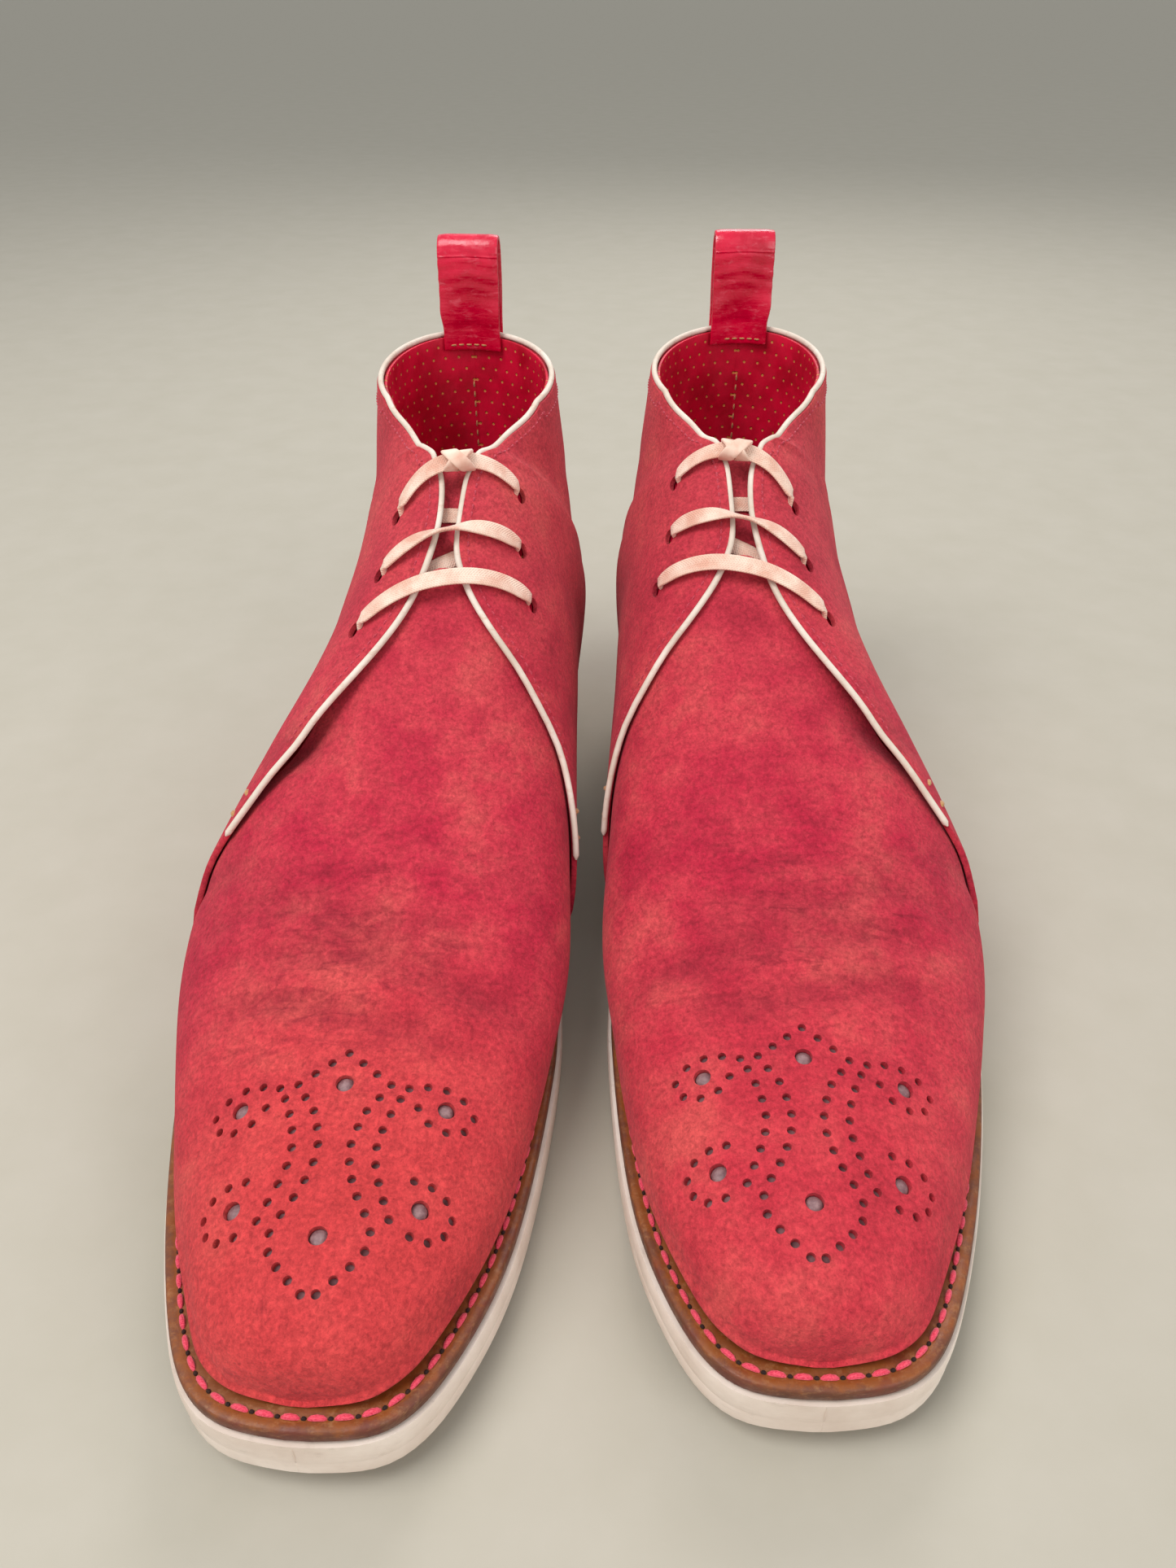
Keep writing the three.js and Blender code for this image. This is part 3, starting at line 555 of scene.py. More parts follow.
def punched(shape, cutters):
    """The shape with holes cut through it; new points take UV or painted crease shade from the
    nearest one.
    """
    sheet = new_object("sheet", new_mesh("sheet", shape[0], turned_out(shape[0], shape[1])))
    punch = new_object("punch", new_mesh("punch", *joined(cutters)))
    cut = sheet.modifiers.new("cut", "BOOLEAN")
    cut.operation = "DIFFERENCE"
    cut.solver = "EXACT"
    cut.object = punch
    graph = bpy.context.evaluated_depsgraph_get()
    mesh = bpy.data.meshes.new_from_object(sheet.evaluated_get(graph))
    points = np.zeros(len(mesh.vertices) * 3)
    mesh.vertices.foreach_get("co", points)
    faces = [list(p.vertices) for p in mesh.polygons]
    for thing in (sheet, punch):
        bpy.data.objects.remove(thing)
    points = points.reshape(-1, 3)
    if len(shape) == 2:
        return points, faces
    tree = kdtree.KDTree(len(shape[0]))
    for i, p in enumerate(shape[0]):
        tree.insert(p, i)
    tree.balance()
    return points, faces, np.array([shape[2][tree.find(p)[1]] for p in points])


def local_axes(k, a):
    """Direction along k, and outwards, at a spot on the upper."""
    out = outward(k, a)
    along = outer(k + 0.05, a) - outer(k - 0.05, a)
    return square_to(along, out), out


def even(k0, k1, count, a):
    """Sections between k0 and k1 at equal distances along the line at angle a."""
    k = np.linspace(k0, k1, 800)
    return evenly(k, outer(k, np.minimum(a, cut_at(k))), count)


def slopes_at(k, a):
    """How a point of the outer face moves for a whole section, and for one degree."""
    return (outer(k + 0.01, a) - outer(k - 0.01, a)) / 0.02, outer(k, a + 0.5) - outer(k, a - 0.5)


def inset(k, a, distance):
    """Points (k, a) at a distance to one side of a line on the upper."""
    away = unit(np.cross(outward(k, a), steps_of(outer(k, a))))
    per_k, per_a = slopes_at(k, a)
    kk, ka, aa = (np.sum(u * v, -1) for u, v in ((per_k, per_k), (per_k, per_a), (per_a, per_a)))
    wk, wa = (np.sum(away * u, -1) * distance for u in (per_k, per_a))
    det = kk * aa - ka * ka
    return k + (wk * aa - wa * ka) / det, a + (wa * kk - wk * ka) / det


# ---- materials ------------------------------------------------------------------------------


def srgb(r, g, b):
    def linear(v):
        v /= 255
        return v / 12.92 if v <= 0.04045 else ((v + 0.055) / 1.055) ** 2.4
    return (linear(r), linear(g), linear(b), 1)


class Look:
    """A node material, made by small calls. Lengths are in millimetres."""

    def __init__(self, name, roughness, **sockets):
        self.material = bpy.data.materials.new(name)
        self.material.use_nodes = True
        self.tree = self.material.node_tree
        self.shader = self.tree.nodes["Principled BSDF"]
        self.shader.inputs["Roughness"].default_value = roughness
        for socket, value in sockets.items():
            self.shader.inputs[socket.replace("_", " ")].default_value = value
        self.where = self.tree.nodes.new("ShaderNodeTexCoord")
        self.last_bump = None

    def put(self, target, value):
        if isinstance(value, bpy.types.NodeSocket):
            self.tree.links.new(value, target)
        else:
            target.default_value = value

    def node(self, kind, inputs, **settings):
        """A new node with its settings, and a value or a link for each of the inputs."""
        made = self.tree.nodes.new("ShaderNode" + kind)
        for name, value in settings.items():
            setattr(made, name, value)
        for socket, value in inputs.items():
            self.put(made.inputs[socket], value)
        return made

    def noise(self, size, detail=3.0, rough=0.5, stretch=(1, 1, 1), warp=0.0):
        scale = tuple(s / (size * MM) for s in stretch)
        spot = self.node("Mapping", {"Vector": self.where.outputs["Object"], "Scale": scale})
        inputs = {"Vector": spot.outputs["Vector"], "Scale": 1, "Detail": detail,
                  "Roughness": rough, "Distortion": warp}
        return self.node("TexNoise", inputs).outputs["Fac"]

    def sum(self, a, b, operation="ADD", c=0.0):
        return self.node("Math", {0: a, 1: b, 2: c}, operation=operation).outputs[0]

    def times(self, a, b):
        return self.sum(a, b, "MULTIPLY")

    def ramp(self, fac, *stops):
        node = self.node("ValToRGB", {"Fac": fac})
        ramp = node.color_ramp
        while len(ramp.elements) < len(stops):
            ramp.elements.new(0.5)
        for element, (spot, color) in zip(ramp.elements, stops):
            element.position = spot
            element.color = color if isinstance(color, tuple) else (color, color, color, 1)
        return node.outputs["Color"]

    def cloud(self, dark, light, low, high, *noise, **more):
        """Noise that is dark below low and light above high; both are colours or values."""
        return self.ramp(self.noise(*noise, **more), (low, dark), (high, light))

    def mix(self, fac, a, b, blend="MIX"):
        node = self.node("Mix", {}, data_type="RGBA", blend_type=blend)
        for i, value in ((0, fac), (6, a), (7, b)):
            self.put(node.inputs[i], value)
        return node.outputs[2]

    def over(self, base, mask, share, color):
        """A share of the colour laid over the base where the mask is high."""
        return self.mix(self.times(mask, share), base, color)

    def axis(self, name, flat=False):
        source = self.where.outputs["UV" if flat else "Object"]
        return self.node("SeparateXYZ", {0: source}).outputs[name]

    def color(self, value):
        self.put(self.shader.inputs["Base Color"], value)

    def rough(self, value):
        self.put(self.shader.inputs["Roughness"], value)

    def bump(self, height, distance, strength=1.0):
        node = self.node("Bump", {"Height": height, "Distance": distance * MM,
                                  "Strength": strength})
        if self.last_bump is not None:
            self.put(node.inputs["Normal"], self.last_bump)
        self.last_bump = node.outputs["Normal"]
        self.put(self.shader.inputs["Normal"], self.last_bump)

    def ball(self, centre, size):
        """1 near a point given in metres, falling to 0 over about its size."""
        gap = self.node("VectorMath", {0: self.where.outputs["Object"], 1: centre},
                        operation="DISTANCE")
        inputs = {"Value": gap.outputs["Value"], "From Min": 0.15 * size, "From Max": size,
                  "To Min": 1.0, "To Max": 0.0}
        return self.node("MapRange", inputs, interpolation_type="SMOOTHSTEP").outputs["Result"]


def suede(name, toe_warmth, side):
    """Red suede: cloudy colour, a warmer toe, painted light on the upper parts, painted shade in
    the creases and a short nap.
    """
    look = Look(name, 0.95, Sheen_Weight=0.18, Sheen_Roughness=0.45, Specular_IOR_Level=0.1,
                Sheen_Tint=srgb(255, 170, 170))
    broad = look.noise(38, 4, 0.55, warp=0.4)
    tone = look.sum(look.times(broad, 0.55), look.times(look.noise(11, 5, 0.6), 0.45))
    base = look.ramp(tone, (0.34, srgb(178, 24, 58)), (0.44, srgb(202, 42, 70)),
                     (0.53, srgb(218, 64, 80)), (0.64, srgb(229, 92, 92)))
    toe = place([[-4, -278, 40]], side)[0]
    base = look.over(base, look.ball(tuple(toe), 0.1), toe_warmth, srgb(232, 86, 70))
    # Painted light: from 60 to 140 mm up, the suede is mixed towards a light coral that stands in
    # for the light falling on the upper parts.
    painted_top_light = look.ramp(look.axis("Z"), (0.06, 0.0), (0.14, 0.4))
    base = look.mix(painted_top_light, base, srgb(232, 100, 98))
    flex = place([[2, -212, 55]], side)[0]
    smudge = look.times(look.ball(tuple(flex), 0.06),
                        look.cloud(0.0, 1.0, 0.5, 0.68, 9, 4, 0.6, (1, 3.2, 1.5), 0.8))
    base = look.over(base, smudge, 0.55, srgb(122, 26, 44))
    # Painted shade: along the bottoms of the creases the suede is darkened towards a deep maroon,
    # broken up by noise.
    crease = look.node("Attribute", {}, attribute_name="crease_shade")
    grime_and_shade = look.cloud(0.35, 1.0, 0.32, 0.6, 5, 4, 0.7)
    base = look.over(base, look.times(crease.outputs["Fac"], grime_and_shade), 0.5, srgb(126, 30, 46))
    stain = look.cloud(0.0, 1.0, 0.60, 0.74, 16, 5, 0.7, warp=1.0)
    base = look.over(base, stain, 0.35, srgb(132, 24, 46))
    clump = look.noise(1.3, 5, 0.7, warp=0.3)
    base = look.mix(0.9, base, look.ramp(clump, (0.34, 0.52), (0.62, 1.0)), "MULTIPLY")
    nap = look.noise(0.55, 2, 0.7, (1, 0.6, 1))
    base = look.mix(0.6, base, look.ramp(nap, (0.3, 0.55), (0.7, 1.0)), "MULTIPLY")
    look.color(look.mix(0.1, base, srgb(214, 68, 82)))
    look.bump(look.noise(4.5, 3, 0.6), 0.4, 0.5)
    look.bump(clump, 0.5, 0.8)
    look.bump(nap, 0.16, 0.8)
    return look.material


def perforated(name):
    """Smooth lining leather with staggered rows of small punched dots."""
    look = Look(name, 0.5, Specular_IOR_Level=0.4)
    row = look.sum(look.axis("Y", True), DOT_UP, "DIVIDE")
    odd = look.times(look.sum(look.sum(row, 0.0, "FLOOR"), 2.0, "MODULO"), 0.5)
    cell = look.sum(look.sum(look.axis("X", True), DOT_ACROSS, "DIVIDE"), odd)
    squares = []
    for spot, size in ((cell, DOT_ACROSS), (row, DOT_UP)):
        off = look.times(look.sum(look.sum(spot, 0.0, "FRACT"), 0.5, "SUBTRACT"), size)
        squares.append(look.times(off, off))
    gap = look.sum(look.sum(*squares), 0.5, "POWER")
    dot = look.ramp(gap, (0.34, 1.0), (0.54, 0.0))
    base = look.cloud(srgb(176, 0, 34), srgb(214, 6, 54), 0.35, 0.6, 14, 4, 0.6)
    look.color(look.mix(dot, base, srgb(206, 132, 66)))
    look.rough(look.cloud(0.42, 0.62, 0.3, 0.7, 5, 3))
    look.bump(look.noise(6, 3, 0.5, (1, 1, 0.35), 0.6), 0.9, 0.5)
    look.bump(dot, -0.35, 0.8)
    look.bump(look.noise(0.7, 2), 0.05, 0.6)
    return look.material


def smooth_leather(name, dark, light, scuff, roughness, shine=0.4, crease=0.25):
    look = Look(name, roughness, Specular_IOR_Level=shine)
    base = look.cloud(dark, light, 0.35, 0.65, 12, 4, 0.6)
    scuff_and_crease_shade = look.cloud(0.0, 1.0, 0.56, 0.72, 4.5, 5, 0.7, (1, 1, 2.5), 0.5)
    look.color(look.over(base, scuff_and_crease_shade, 0.6, scuff))
    look.rough(look.cloud(max(roughness - 0.1, 0.05), min(roughness + 0.2, 1.0), 0.3, 0.75, 3, 4))
    look.bump(look.noise(4, 3, 0.5, (0.5, 0.5, 3), 0.4), crease, 0.6)
    look.bump(look.noise(0.9, 2, 0.6), 0.06, 0.7)
    return look.material


def woven_tape(name):
    look = Look(name, 0.85, Sheen_Weight=0.25, Sheen_Roughness=0.4, Specular_IOR_Level=0.2)
    along, across = look.axis("X", True), look.axis("Y", True)
    slant = look.times(look.sum(across, 0.0, "ABSOLUTE"), 0.9)
    rib = look.sum(look.times(look.sum(along, slant), 8.2), 0.0, "SINE")
    warp = look.sum(look.times(across, 9.5), 0.0, "SINE")
    weave = look.sum(look.times(rib, 0.6), look.times(warp, 0.4))
    base = look.cloud(srgb(226, 172, 150), srgb(247, 216, 196), 0.35, 0.62, 7, 4, 0.6)
    shade = look.ramp(look.sum(weave, 0.5, "MULTIPLY_ADD", 0.5), (0.0, 0.80), (0.6, 1.0))
    look.color(look.mix(1.0, base, shade, "MULTIPLY"))
    look.bump(weave, 0.12, 0.6)
    look.bump(look.noise(0.5, 2, 0.7), 0.08, 0.5)
    return look.material


def thread(name, dark, light):
    look = Look(name, 0.7, Sheen_Weight=0.3, Specular_IOR_Level=0.25)
    twist = look.noise(0.45, 2, 0.6, (1, 3, 1))
    look.color(look.ramp(twist, (0.3, dark), (0.65, light)))
    look.bump(twist, 0.12, 0.8)
    return look.material


def welt_leather(name):
    """Orange-brown ledge and a darker, burnished outer edge; UV v runs across the band."""
    look = Look(name, 0.5, Specular_IOR_Level=0.45)
    across = look.axis("Y", True)
    wander = look.sum(across, look.sum(look.noise(6, 4, 0.7), 0.5, "SUBTRACT"))
    base = look.ramp(wander, (0.0, srgb(120, 62, 20)), (0.40, srgb(140, 76, 28)),
                     (0.58, srgb(112, 62, 38)), (1.0, srgb(74, 38, 22)))
    fleck = look.cloud(0.0, 1.0, 0.52, 0.70, 2.2, 5, 0.75, (1, 1, 3))
    base = look.over(base, fleck, 0.45, srgb(176, 128, 84))
    stain = look.cloud(0.0, 1.0, 0.52, 0.66, 9, 4, 0.6, warp=0.6)
    look.color(look.over(base, stain, 0.35, srgb(110, 30, 34)))
    look.rough(look.cloud(0.36, 0.66, 0.3, 0.7, 4, 3))
    look.bump(look.noise(1.6, 4, 0.65, (1, 1, 4)), 0.22, 0.6)
    return look.material


def painted_sole(name):
    look = Look(name, 0.55, Specular_IOR_Level=0.4)
    base = look.cloud(srgb(222, 202, 186), srgb(242, 226, 212), 0.35, 0.65, 22, 4, 0.6)
    grime_and_shade = look.cloud(0.0, 1.0, 0.58, 0.80, 7, 5, 0.75, (1, 1, 3), 0.5)
    base = look.over(base, grime_and_shade, 0.45, srgb(168, 146, 128))
    low = look.ramp(look.axis("Z"), (0.0, 1.0), (0.006, 0.0))
    look.color(look.over(base, low, 0.3, srgb(140, 122, 104)))
    look.rough(look.cloud(0.45, 0.7, 0.3, 0.7, 5, 3))
    look.bump(look.noise(2.5, 4, 0.6, (1, 1, 6)), 0.12, 0.5)
    return look.material


def plain(name, dark, light, size, roughness, metallic=0.0, grain=0.1):
    look = Look(name, roughness, Metallic=metallic)
    look.color(look.cloud(dark, light, 0.35, 0.65, size, 4, 0.6))
    look.bump(look.noise(size * 0.3, 3), grain, 0.6)
    return look.material


# ---- camera, light and floor ----------------------------------------------------------------
FOCAL_PX = 1448.0
IMAGE_HIGH = 1927.0
SENSOR = 36.0
CAMERA_AT = (0.0, -419.0, 240.0)
CAMERA_PITCH = 35.0


def add_camera():
    data = bpy.data.cameras.new("camera")
    data.sensor_fit = "AUTO"
    data.sensor_width = SENSOR
    data.lens = FOCAL_PX / IMAGE_HIGH * SENSOR
    data.clip_start = 0.01
    camera = new_object("camera", data)
    camera.location = Vector((np.array(CAMERA_AT) + (shift[0], shift[1], 0)) * MM)
    camera.rotation_euler = (math.radians(90 - CAMERA_PITCH), 0, 0)
    bpy.context.scene.camera = camera


def add_light(name, where, target, size, power):
    data = bpy.data.lights.new(name, "AREA")
    data.shape = "DISK"
    data.size = size
    data.energy = power
    lamp = new_object(name, data)
    lamp.location = Vector(where)
    lamp.rotation_euler = (Vector(target) - Vector(where)).to_track_quat("-Z", "Y").to_euler()


def add_stage():
    look = Look("floor", 0.9)
    look.color(look.cloud(srgb(176, 169, 154), srgb(180, 173, 159), 0.3, 0.7, 25, 4, 0.6))
    look.bump(look.noise(2.5, 3), 0.08, 0.4)
    reach = 30.0
    corners = [(-reach, -reach, 0), (reach, -reach, 0), (reach, reach, 0), (-reach, reach, 0)]
    mesh = new_mesh("floor", corners, [[0, 1, 2, 3]])
    mesh.materials.append(look.material)
    floor = new_object("floor", mesh)
    floor.location.z = -0.0002
    world = bpy.data.worlds.new("studio")
    world.use_nodes = True
    background = world.node_tree.nodes["Background"]
    background.inputs["Color"].default_value = srgb(232, 236, 238)
    background.inputs["Strength"].default_value = 0.72
    bpy.context.scene.world = world
    add_light("key", (-0.5, -0.35, 1.1), (0, 0, 0.05), 0.7, 10)
    add_light("fill", (0.8, -0.9, 0.7), (0, -0.05, 0.05), 0.9, 5)
    add_light("back", (0.2, 0.9, 0.9), (0, 0, 0.08), 0.6, 5)
    bpy.context.scene.view_settings.view_transform = "Standard"


add_camera()
add_stage()

# ---- looks ----------------------------------------------------------------------------------
SUEDE_LOOK = {side: suede(f"suede_{side}", warmth, side)
              for side, warmth in (("left", 0.25), ("right", 0.55))}
LINING_LOOK = perforated("lining")
PIPING_LOOK = smooth_leather("piping", srgb(208, 190, 172), srgb(230, 216, 202),
                             srgb(196, 150, 120), 0.6, crease=0.1)
STRAP_LOOK = smooth_leather("strap", srgb(184, 0, 40), srgb(214, 0, 54), srgb(224, 96, 112), 0.24,
                            shine=0.6, crease=0.25)
LACE_LOOK = woven_tape("lace")
PINK_THREAD = thread("pink_thread", srgb(206, 28, 66), srgb(246, 92, 112))
RED_THREAD = thread("red_thread", srgb(150, 22, 48), srgb(206, 66, 84))
GOLD_THREAD = thread("gold_thread", srgb(150, 100, 52), srgb(206, 158, 104))
WELT_LOOK = welt_leather("welt")
SOLE_LOOK = painted_sole("sole")
# Near-black colour for the painted shade in the welt's stitch holes.
HOLE_SHADE_LOOK = plain("stitch_hole_shade", srgb(34, 16, 12), srgb(52, 26, 18), 2, 0.9)
BACKING_LOOK = plain("backing", srgb(96, 58, 62), srgb(134, 96, 98), 3, 0.7)
STUD_LOOK = plain("stud", srgb(112, 76, 80), srgb(150, 116, 116), 1.5, 0.5)
BOARD_LOOK = plain("board", srgb(150, 110, 74), srgb(184, 144, 104), 5, 0.85)
CORK_LOOK = plain("cork", srgb(118, 78, 44), srgb(176, 130, 84), 2, 0.9, grain=0.3)
STEEL_LOOK = plain("steel", srgb(120, 122, 124), srgb(160, 162, 164), 8, 0.35, metallic=1.0,
                   grain=0.02)

# ---- the upper ------------------------------------------------------------------------------
NEARLY = 0.02                 # half of the hair's breadth left where two edges meet


def sheet_of(k, a, inner, outer_depth, extra=None):
    return slab(wall(k, a, outer_depth), wall(k, a, inner), extra)


def toe_closed(face, a):
    """The face with one more row of points, which closes it at the very tip of the toe."""
    tip = face[:1].copy()
    tip[..., 0] = section(0.0)[5] + NEARLY * np.sign(a[:1])
    return np.concatenate([tip, face])


def heel_closed(face, k, side):
    """The face with its last column drawn to the middle line, round the back of the heel."""
    face = face.copy()
    near = smooth(12.6, 13.6, k[:, -1])
    middle = section(k[:, -1])[5] + side * NEARLY
    face[:, -1, 0] = lerp(face[:, -1, 0], middle, near)
    return face


def full_width(rear, rows, cols, first=0.04):
    u = np.linspace(0, 1, rows)[:, None]
    t = 2 * np.linspace(0, 1, cols)[None, :] - 1
    k = lerp(first, rear(t * 120), 1 - (1 - u) ** 0.9)
    return k, t * cut_at(k)


# The punched pattern on the toe, as distances to the side of its centre line and along it, to
# the nearest half millimetre. Small holes follow each line at the pitch, and both sides mirror
# each other.
MEDALLION_AXIS = ((-0.5, 236.0), (-4.0, 288.0))
MEDALLION_PITCH = 4.0
MEDALLION_LINES = [
    [[0, 0], [6.5, 4.5], [12, 7.5], [18.5, 6.5], [25, 7.5], [28.5, 11.5], [25, 15.5],
     [19.5, 15], [16.5, 11.5]],
    [[12.5, 10], [10.5, 14.5], [9, 20.5], [9.5, 26], [11.5, 31.5], [13.5, 36]],
    [[8, 10], [5.5, 13.5], [3.5, 20.5], [4, 25.5], [6, 31], [9.5, 37], [10, 42], [6, 47],
     [1.5, 51]],
    [[17.5, 27.5], [23.5, 29], [26, 34], [22.5, 38.5], [18, 38.5]],
]
LARGE_HOLES = [[0, 7.0], [22.5, 11.0], [19.5, 33.0], [0, 40.0]]


def dotted(line):
    """Places of small holes along one line of the pattern, close to a pitch apart."""
    path = row_curve(line)(np.linspace(0, len(line) - 1, 400))
    return resampled(path, round(run_length(path)[-1] / MEDALLION_PITCH) + 1).tolist()


SMALL_HOLES = [spot for line in MEDALLION_LINES for spot in dotted(line)]


def medallion_spot(side, along):
    """x and s in plan of a hole of the medallion."""
    (x0, s0), (x1, s1) = MEDALLION_AXIS
    lean = (x1 - x0) / (s1 - s0)
    return x0 + lean * along + side, s0 + along - side * lean


def spot_on_toe(x, s):
    """Section and angle of the point of the toe that lies over x, s in plan."""
    ridge = [row[2] for row in LAST[8::-1]]
    k = np.interp(s, ridge, np.arange(8, -1, -1))
    a = np.clip(x, -38, 38) * 1.4
    for _ in range(14):
        p = outer(k, a)
        dk, da = slopes_at(k, a)
        gx, gs = x - p[0], s + p[1]
        det = dk[0] * -da[1] - da[0] * -dk[1]
        k = float(np.clip(k + (gx * -da[1] - gs * da[0]) / det, 1.5, 7))
        a = float(np.clip(a + (gs * dk[0] - gx * -dk[1]) / det, -85, 85))
    return k, a


def toe_spots(holes):
    """Section, angle and axes of each hole on both sides of the medallion."""
    for side, along in holes:
        for sign in ((1, -1) if side else (1,)):
            k, a = spot_on_toe(*medallion_spot(sign * side, along))
            yield k, a, *local_axes(k, a)


def medallion():
    return [peg(wall(k, a, VAMP_DEPTH + SUEDE / 2), line, out, radius, radius, 2.2)
            for holes, radius in ((SMALL_HOLES, SMALL_HOLE), (LARGE_HOLES, LARGE_HOLE))
            for k, a, line, out in toe_spots(holes)]


def medallion_backing():
    """Backing cloth under the holes, and the low studs that fill the large ones."""
    k = np.linspace(2.4, 6.0, 60)[:, None]
    a = np.linspace(-74, 74, 60)[None, :]
    add_pair("medallion_backing", sheet_of(k, a, VAMP_DEPTH - 0.42, VAMP_DEPTH - 0.04),
             BACKING_LOOK)
    cos, sin = circle(20)
    profile = ((0, 1.75), (0.45, 1.7), (0.72, 1.3), (0.84, 0.6), (0.86, 0.1))
    studs = []
    for k, a, line, out in toe_spots(LARGE_HOLES):
        ring = line * cos[:, None] + np.cross(out, line) * sin[:, None]
        centre = wall(k, a, VAMP_DEPTH - 0.1)
        studs.append(sweep(np.array([centre + out * up + ring * wide for up, wide in profile])))
    add_pair("medallion_studs", joined(studs), STUD_LOOK)


def eyelet_cutters(side):
    cutters = []
    for k, a in EYELETS[side]:
        line, out = local_axes(k, side * a)
        centre = wall(k, side * (a + 1.6), QUARTER_DEPTH)
        cutters.append(peg(centre, line, out, EYELET_LONG, EYELET_WIDE, 5))
    return cutters


def vamp_piece():
    k, a = full_width(vamp_edge, 150, 132)
    # The painted crease shade rides along with the points, for the suede material.
    scuff_and_crease_shade = crease_shade(k, a)
    sheet = slab(toe_closed(wall(k, a, VAMP_DEPTH + SUEDE - sag(k, a)), a),
                 toe_closed(wall(k, a, VAMP_DEPTH - sag(k, a)), a),
                 np.concatenate([scuff_and_crease_shade[:1], scuff_and_crease_shade]))
    shape = punched(sheet, medallion())
    add_pair("vamp", shape, SUEDE_LOOK, ["vamp"])
    k, a = full_width(lambda t: np.minimum(8.7, vamp_edge(t) - 0.42), 40, 41)
    add_pair("vamp_lining", sheet_of(k, a, -sag(k, a), LINING - sag(k, a)), LINING_LOOK,
             ["vamp_lining"])


def side_grid(side, start, edge, rows, cols):
    k = even(start, COLLAR, rows, 95)[:, None]
    v = np.linspace(0, 1, cols)[None, :]
    end = cut_at(k) - 0.4
    return np.broadcast_arrays(k, side * lerp(np.minimum(edge(k), end - 4), end, v ** 0.9))


def quarter_piece(side, name):
    k, a = side_grid(side, QUARTER_START[side], facing_edge[side], 130, 66)
    lift = gape(k, a)
    shape = slab(heel_closed(wall(k, a, TOP_BUILD + lift), k, side),
                 heel_closed(wall(k, a, QUARTER_DEPTH + lift), k, side), crease_shade(k, a))
    add_pair(f"quarter_{name}", punched(shape, eyelet_cutters(side)), SUEDE_LOOK,
             [f"quarter_{name}"])


def lining_piece(side, name):
    k, a = side_grid(side, LINING_START[side], lining_edge[side], 100, 50)
    depth = lining_depth(k, a)
    ruck = 0.35 * np.sin(k * 5 + a * 0.16) * np.sin(a * 0.11) * smooth(COLLAR, 16, k)
    face = wall(k, a, depth)
    gaps = np.linalg.norm(np.diff(face, axis=1), axis=2)[:, ::-1].cumsum(1)[:, ::-1]
    round_mm = np.concatenate([gaps, np.zeros((len(k), 1))], 1)
    uv = np.stack([side * (round_mm + 2), face[..., 2]], -1)
    shape = slab(wall(k, a, depth + LINING), wall(k, a, depth - np.abs(ruck) * 0.8), uv)
    add_pair(f"quarter_lining_{name}", punched(shape, eyelet_cutters(side)), LINING_LOOK,
             [f"quarter_lining_{name}"])


def tongue_piece():
    u = np.linspace(0, 1, 60)[:, None]
    v = 2 * np.linspace(0, 1, 36)[None, :] - 1
    half = TONGUE_HALF * (1 - 0.3 * smooth(0.8, 1.02, u))
    k = lerp(8.8, 14.4, u) - 0.55 * smooth(0.6, 1, u) * v ** 2
    depth = TONGUE_FACE - TONGUE + 0.3 * smooth(9.3, 9.9, k)
    shape = sheet_of(k, v * half, depth, depth + TONGUE, crease_shade(k, v * half))
    add_pair("tongue", shape, SUEDE_LOOK, ["tongue"], body="tongue_flap")


def facing_line(side):
    """The line of sections and angles up the facing and round the collar to the back."""
    t = np.linspace(0, 1, 160)
    k = lerp(PIPING_START[side], COLLAR, 1 - (1 - t) ** 1.3)
    a = facing_edge[side](k)
    back = np.linspace(0, 1, 80)[1:]
    k = np.concatenate([k, np.full(79, float(COLLAR))])
    return k, side * np.concatenate([a, lerp(facing_edge[side](COLLAR), 180, back)])


def piping_piece():
    lines = [facing_line(1), facing_line(-1)]
    k = np.concatenate([lines[0][0], lines[1][0][-2::-1]])
    a = np.concatenate([lines[0][1], 360 + lines[1][1][-2::-1]])
    over_vamp = VAMP_DEPTH + SUEDE + CLEAR + 0.35 + PIPING / 2
    depth = lerp(over_vamp, TOP_BUILD - PIPING / 2, smooth(9.3, 10.2, k))
    signed = np.where(a > 180, a - 360, a)
    path = wall(k, signed, depth + gape(k, signed))
    away = unit(np.cross(outward(k, signed), steps_of(path)))
    path = path + away * (PIPING_SHOWN / 2 + 0.1)
    add_pair("piping", tube(resampled(path, 420), PIPING_SHOWN / 2), PIPING_LOOK,
             ["piping"])


def edge_seams():
    rows = []
    for side in (1, -1):
        k, a = facing_line(side)
        k, a = k[6:], a[6:]
        k2, a2 = inset(k, a, -side * 2.0)
        k2 = np.minimum(k2, COLLAR - 0.06)
        path = wall(k2, a2, TOP_BUILD + gape(k2, a2) + 0.05)
        rows.append(seam(path, outward(k2, a2), *EDGE_STITCH))
    add_pair("edge_seam", joined(rows), RED_THREAD)


def bar_tacks():
    made = []
    for side, k0, a0 in ((1, 7.66, 51), (1, 7.57, 57), (-1, 8.14, 76), (-1, 8.04, 83)):
        spot = [wall(k0 + d, side * (a0 + e), TOP_BUILD + 0.1) for d, e in ((0, 0), (0.11, 3.2))]
        made.append(stitch(spot[0], spot[1], outward(k0, side * a0), 0.7))
    add_pair("bar_tacks", joined(made), GOLD_THREAD)


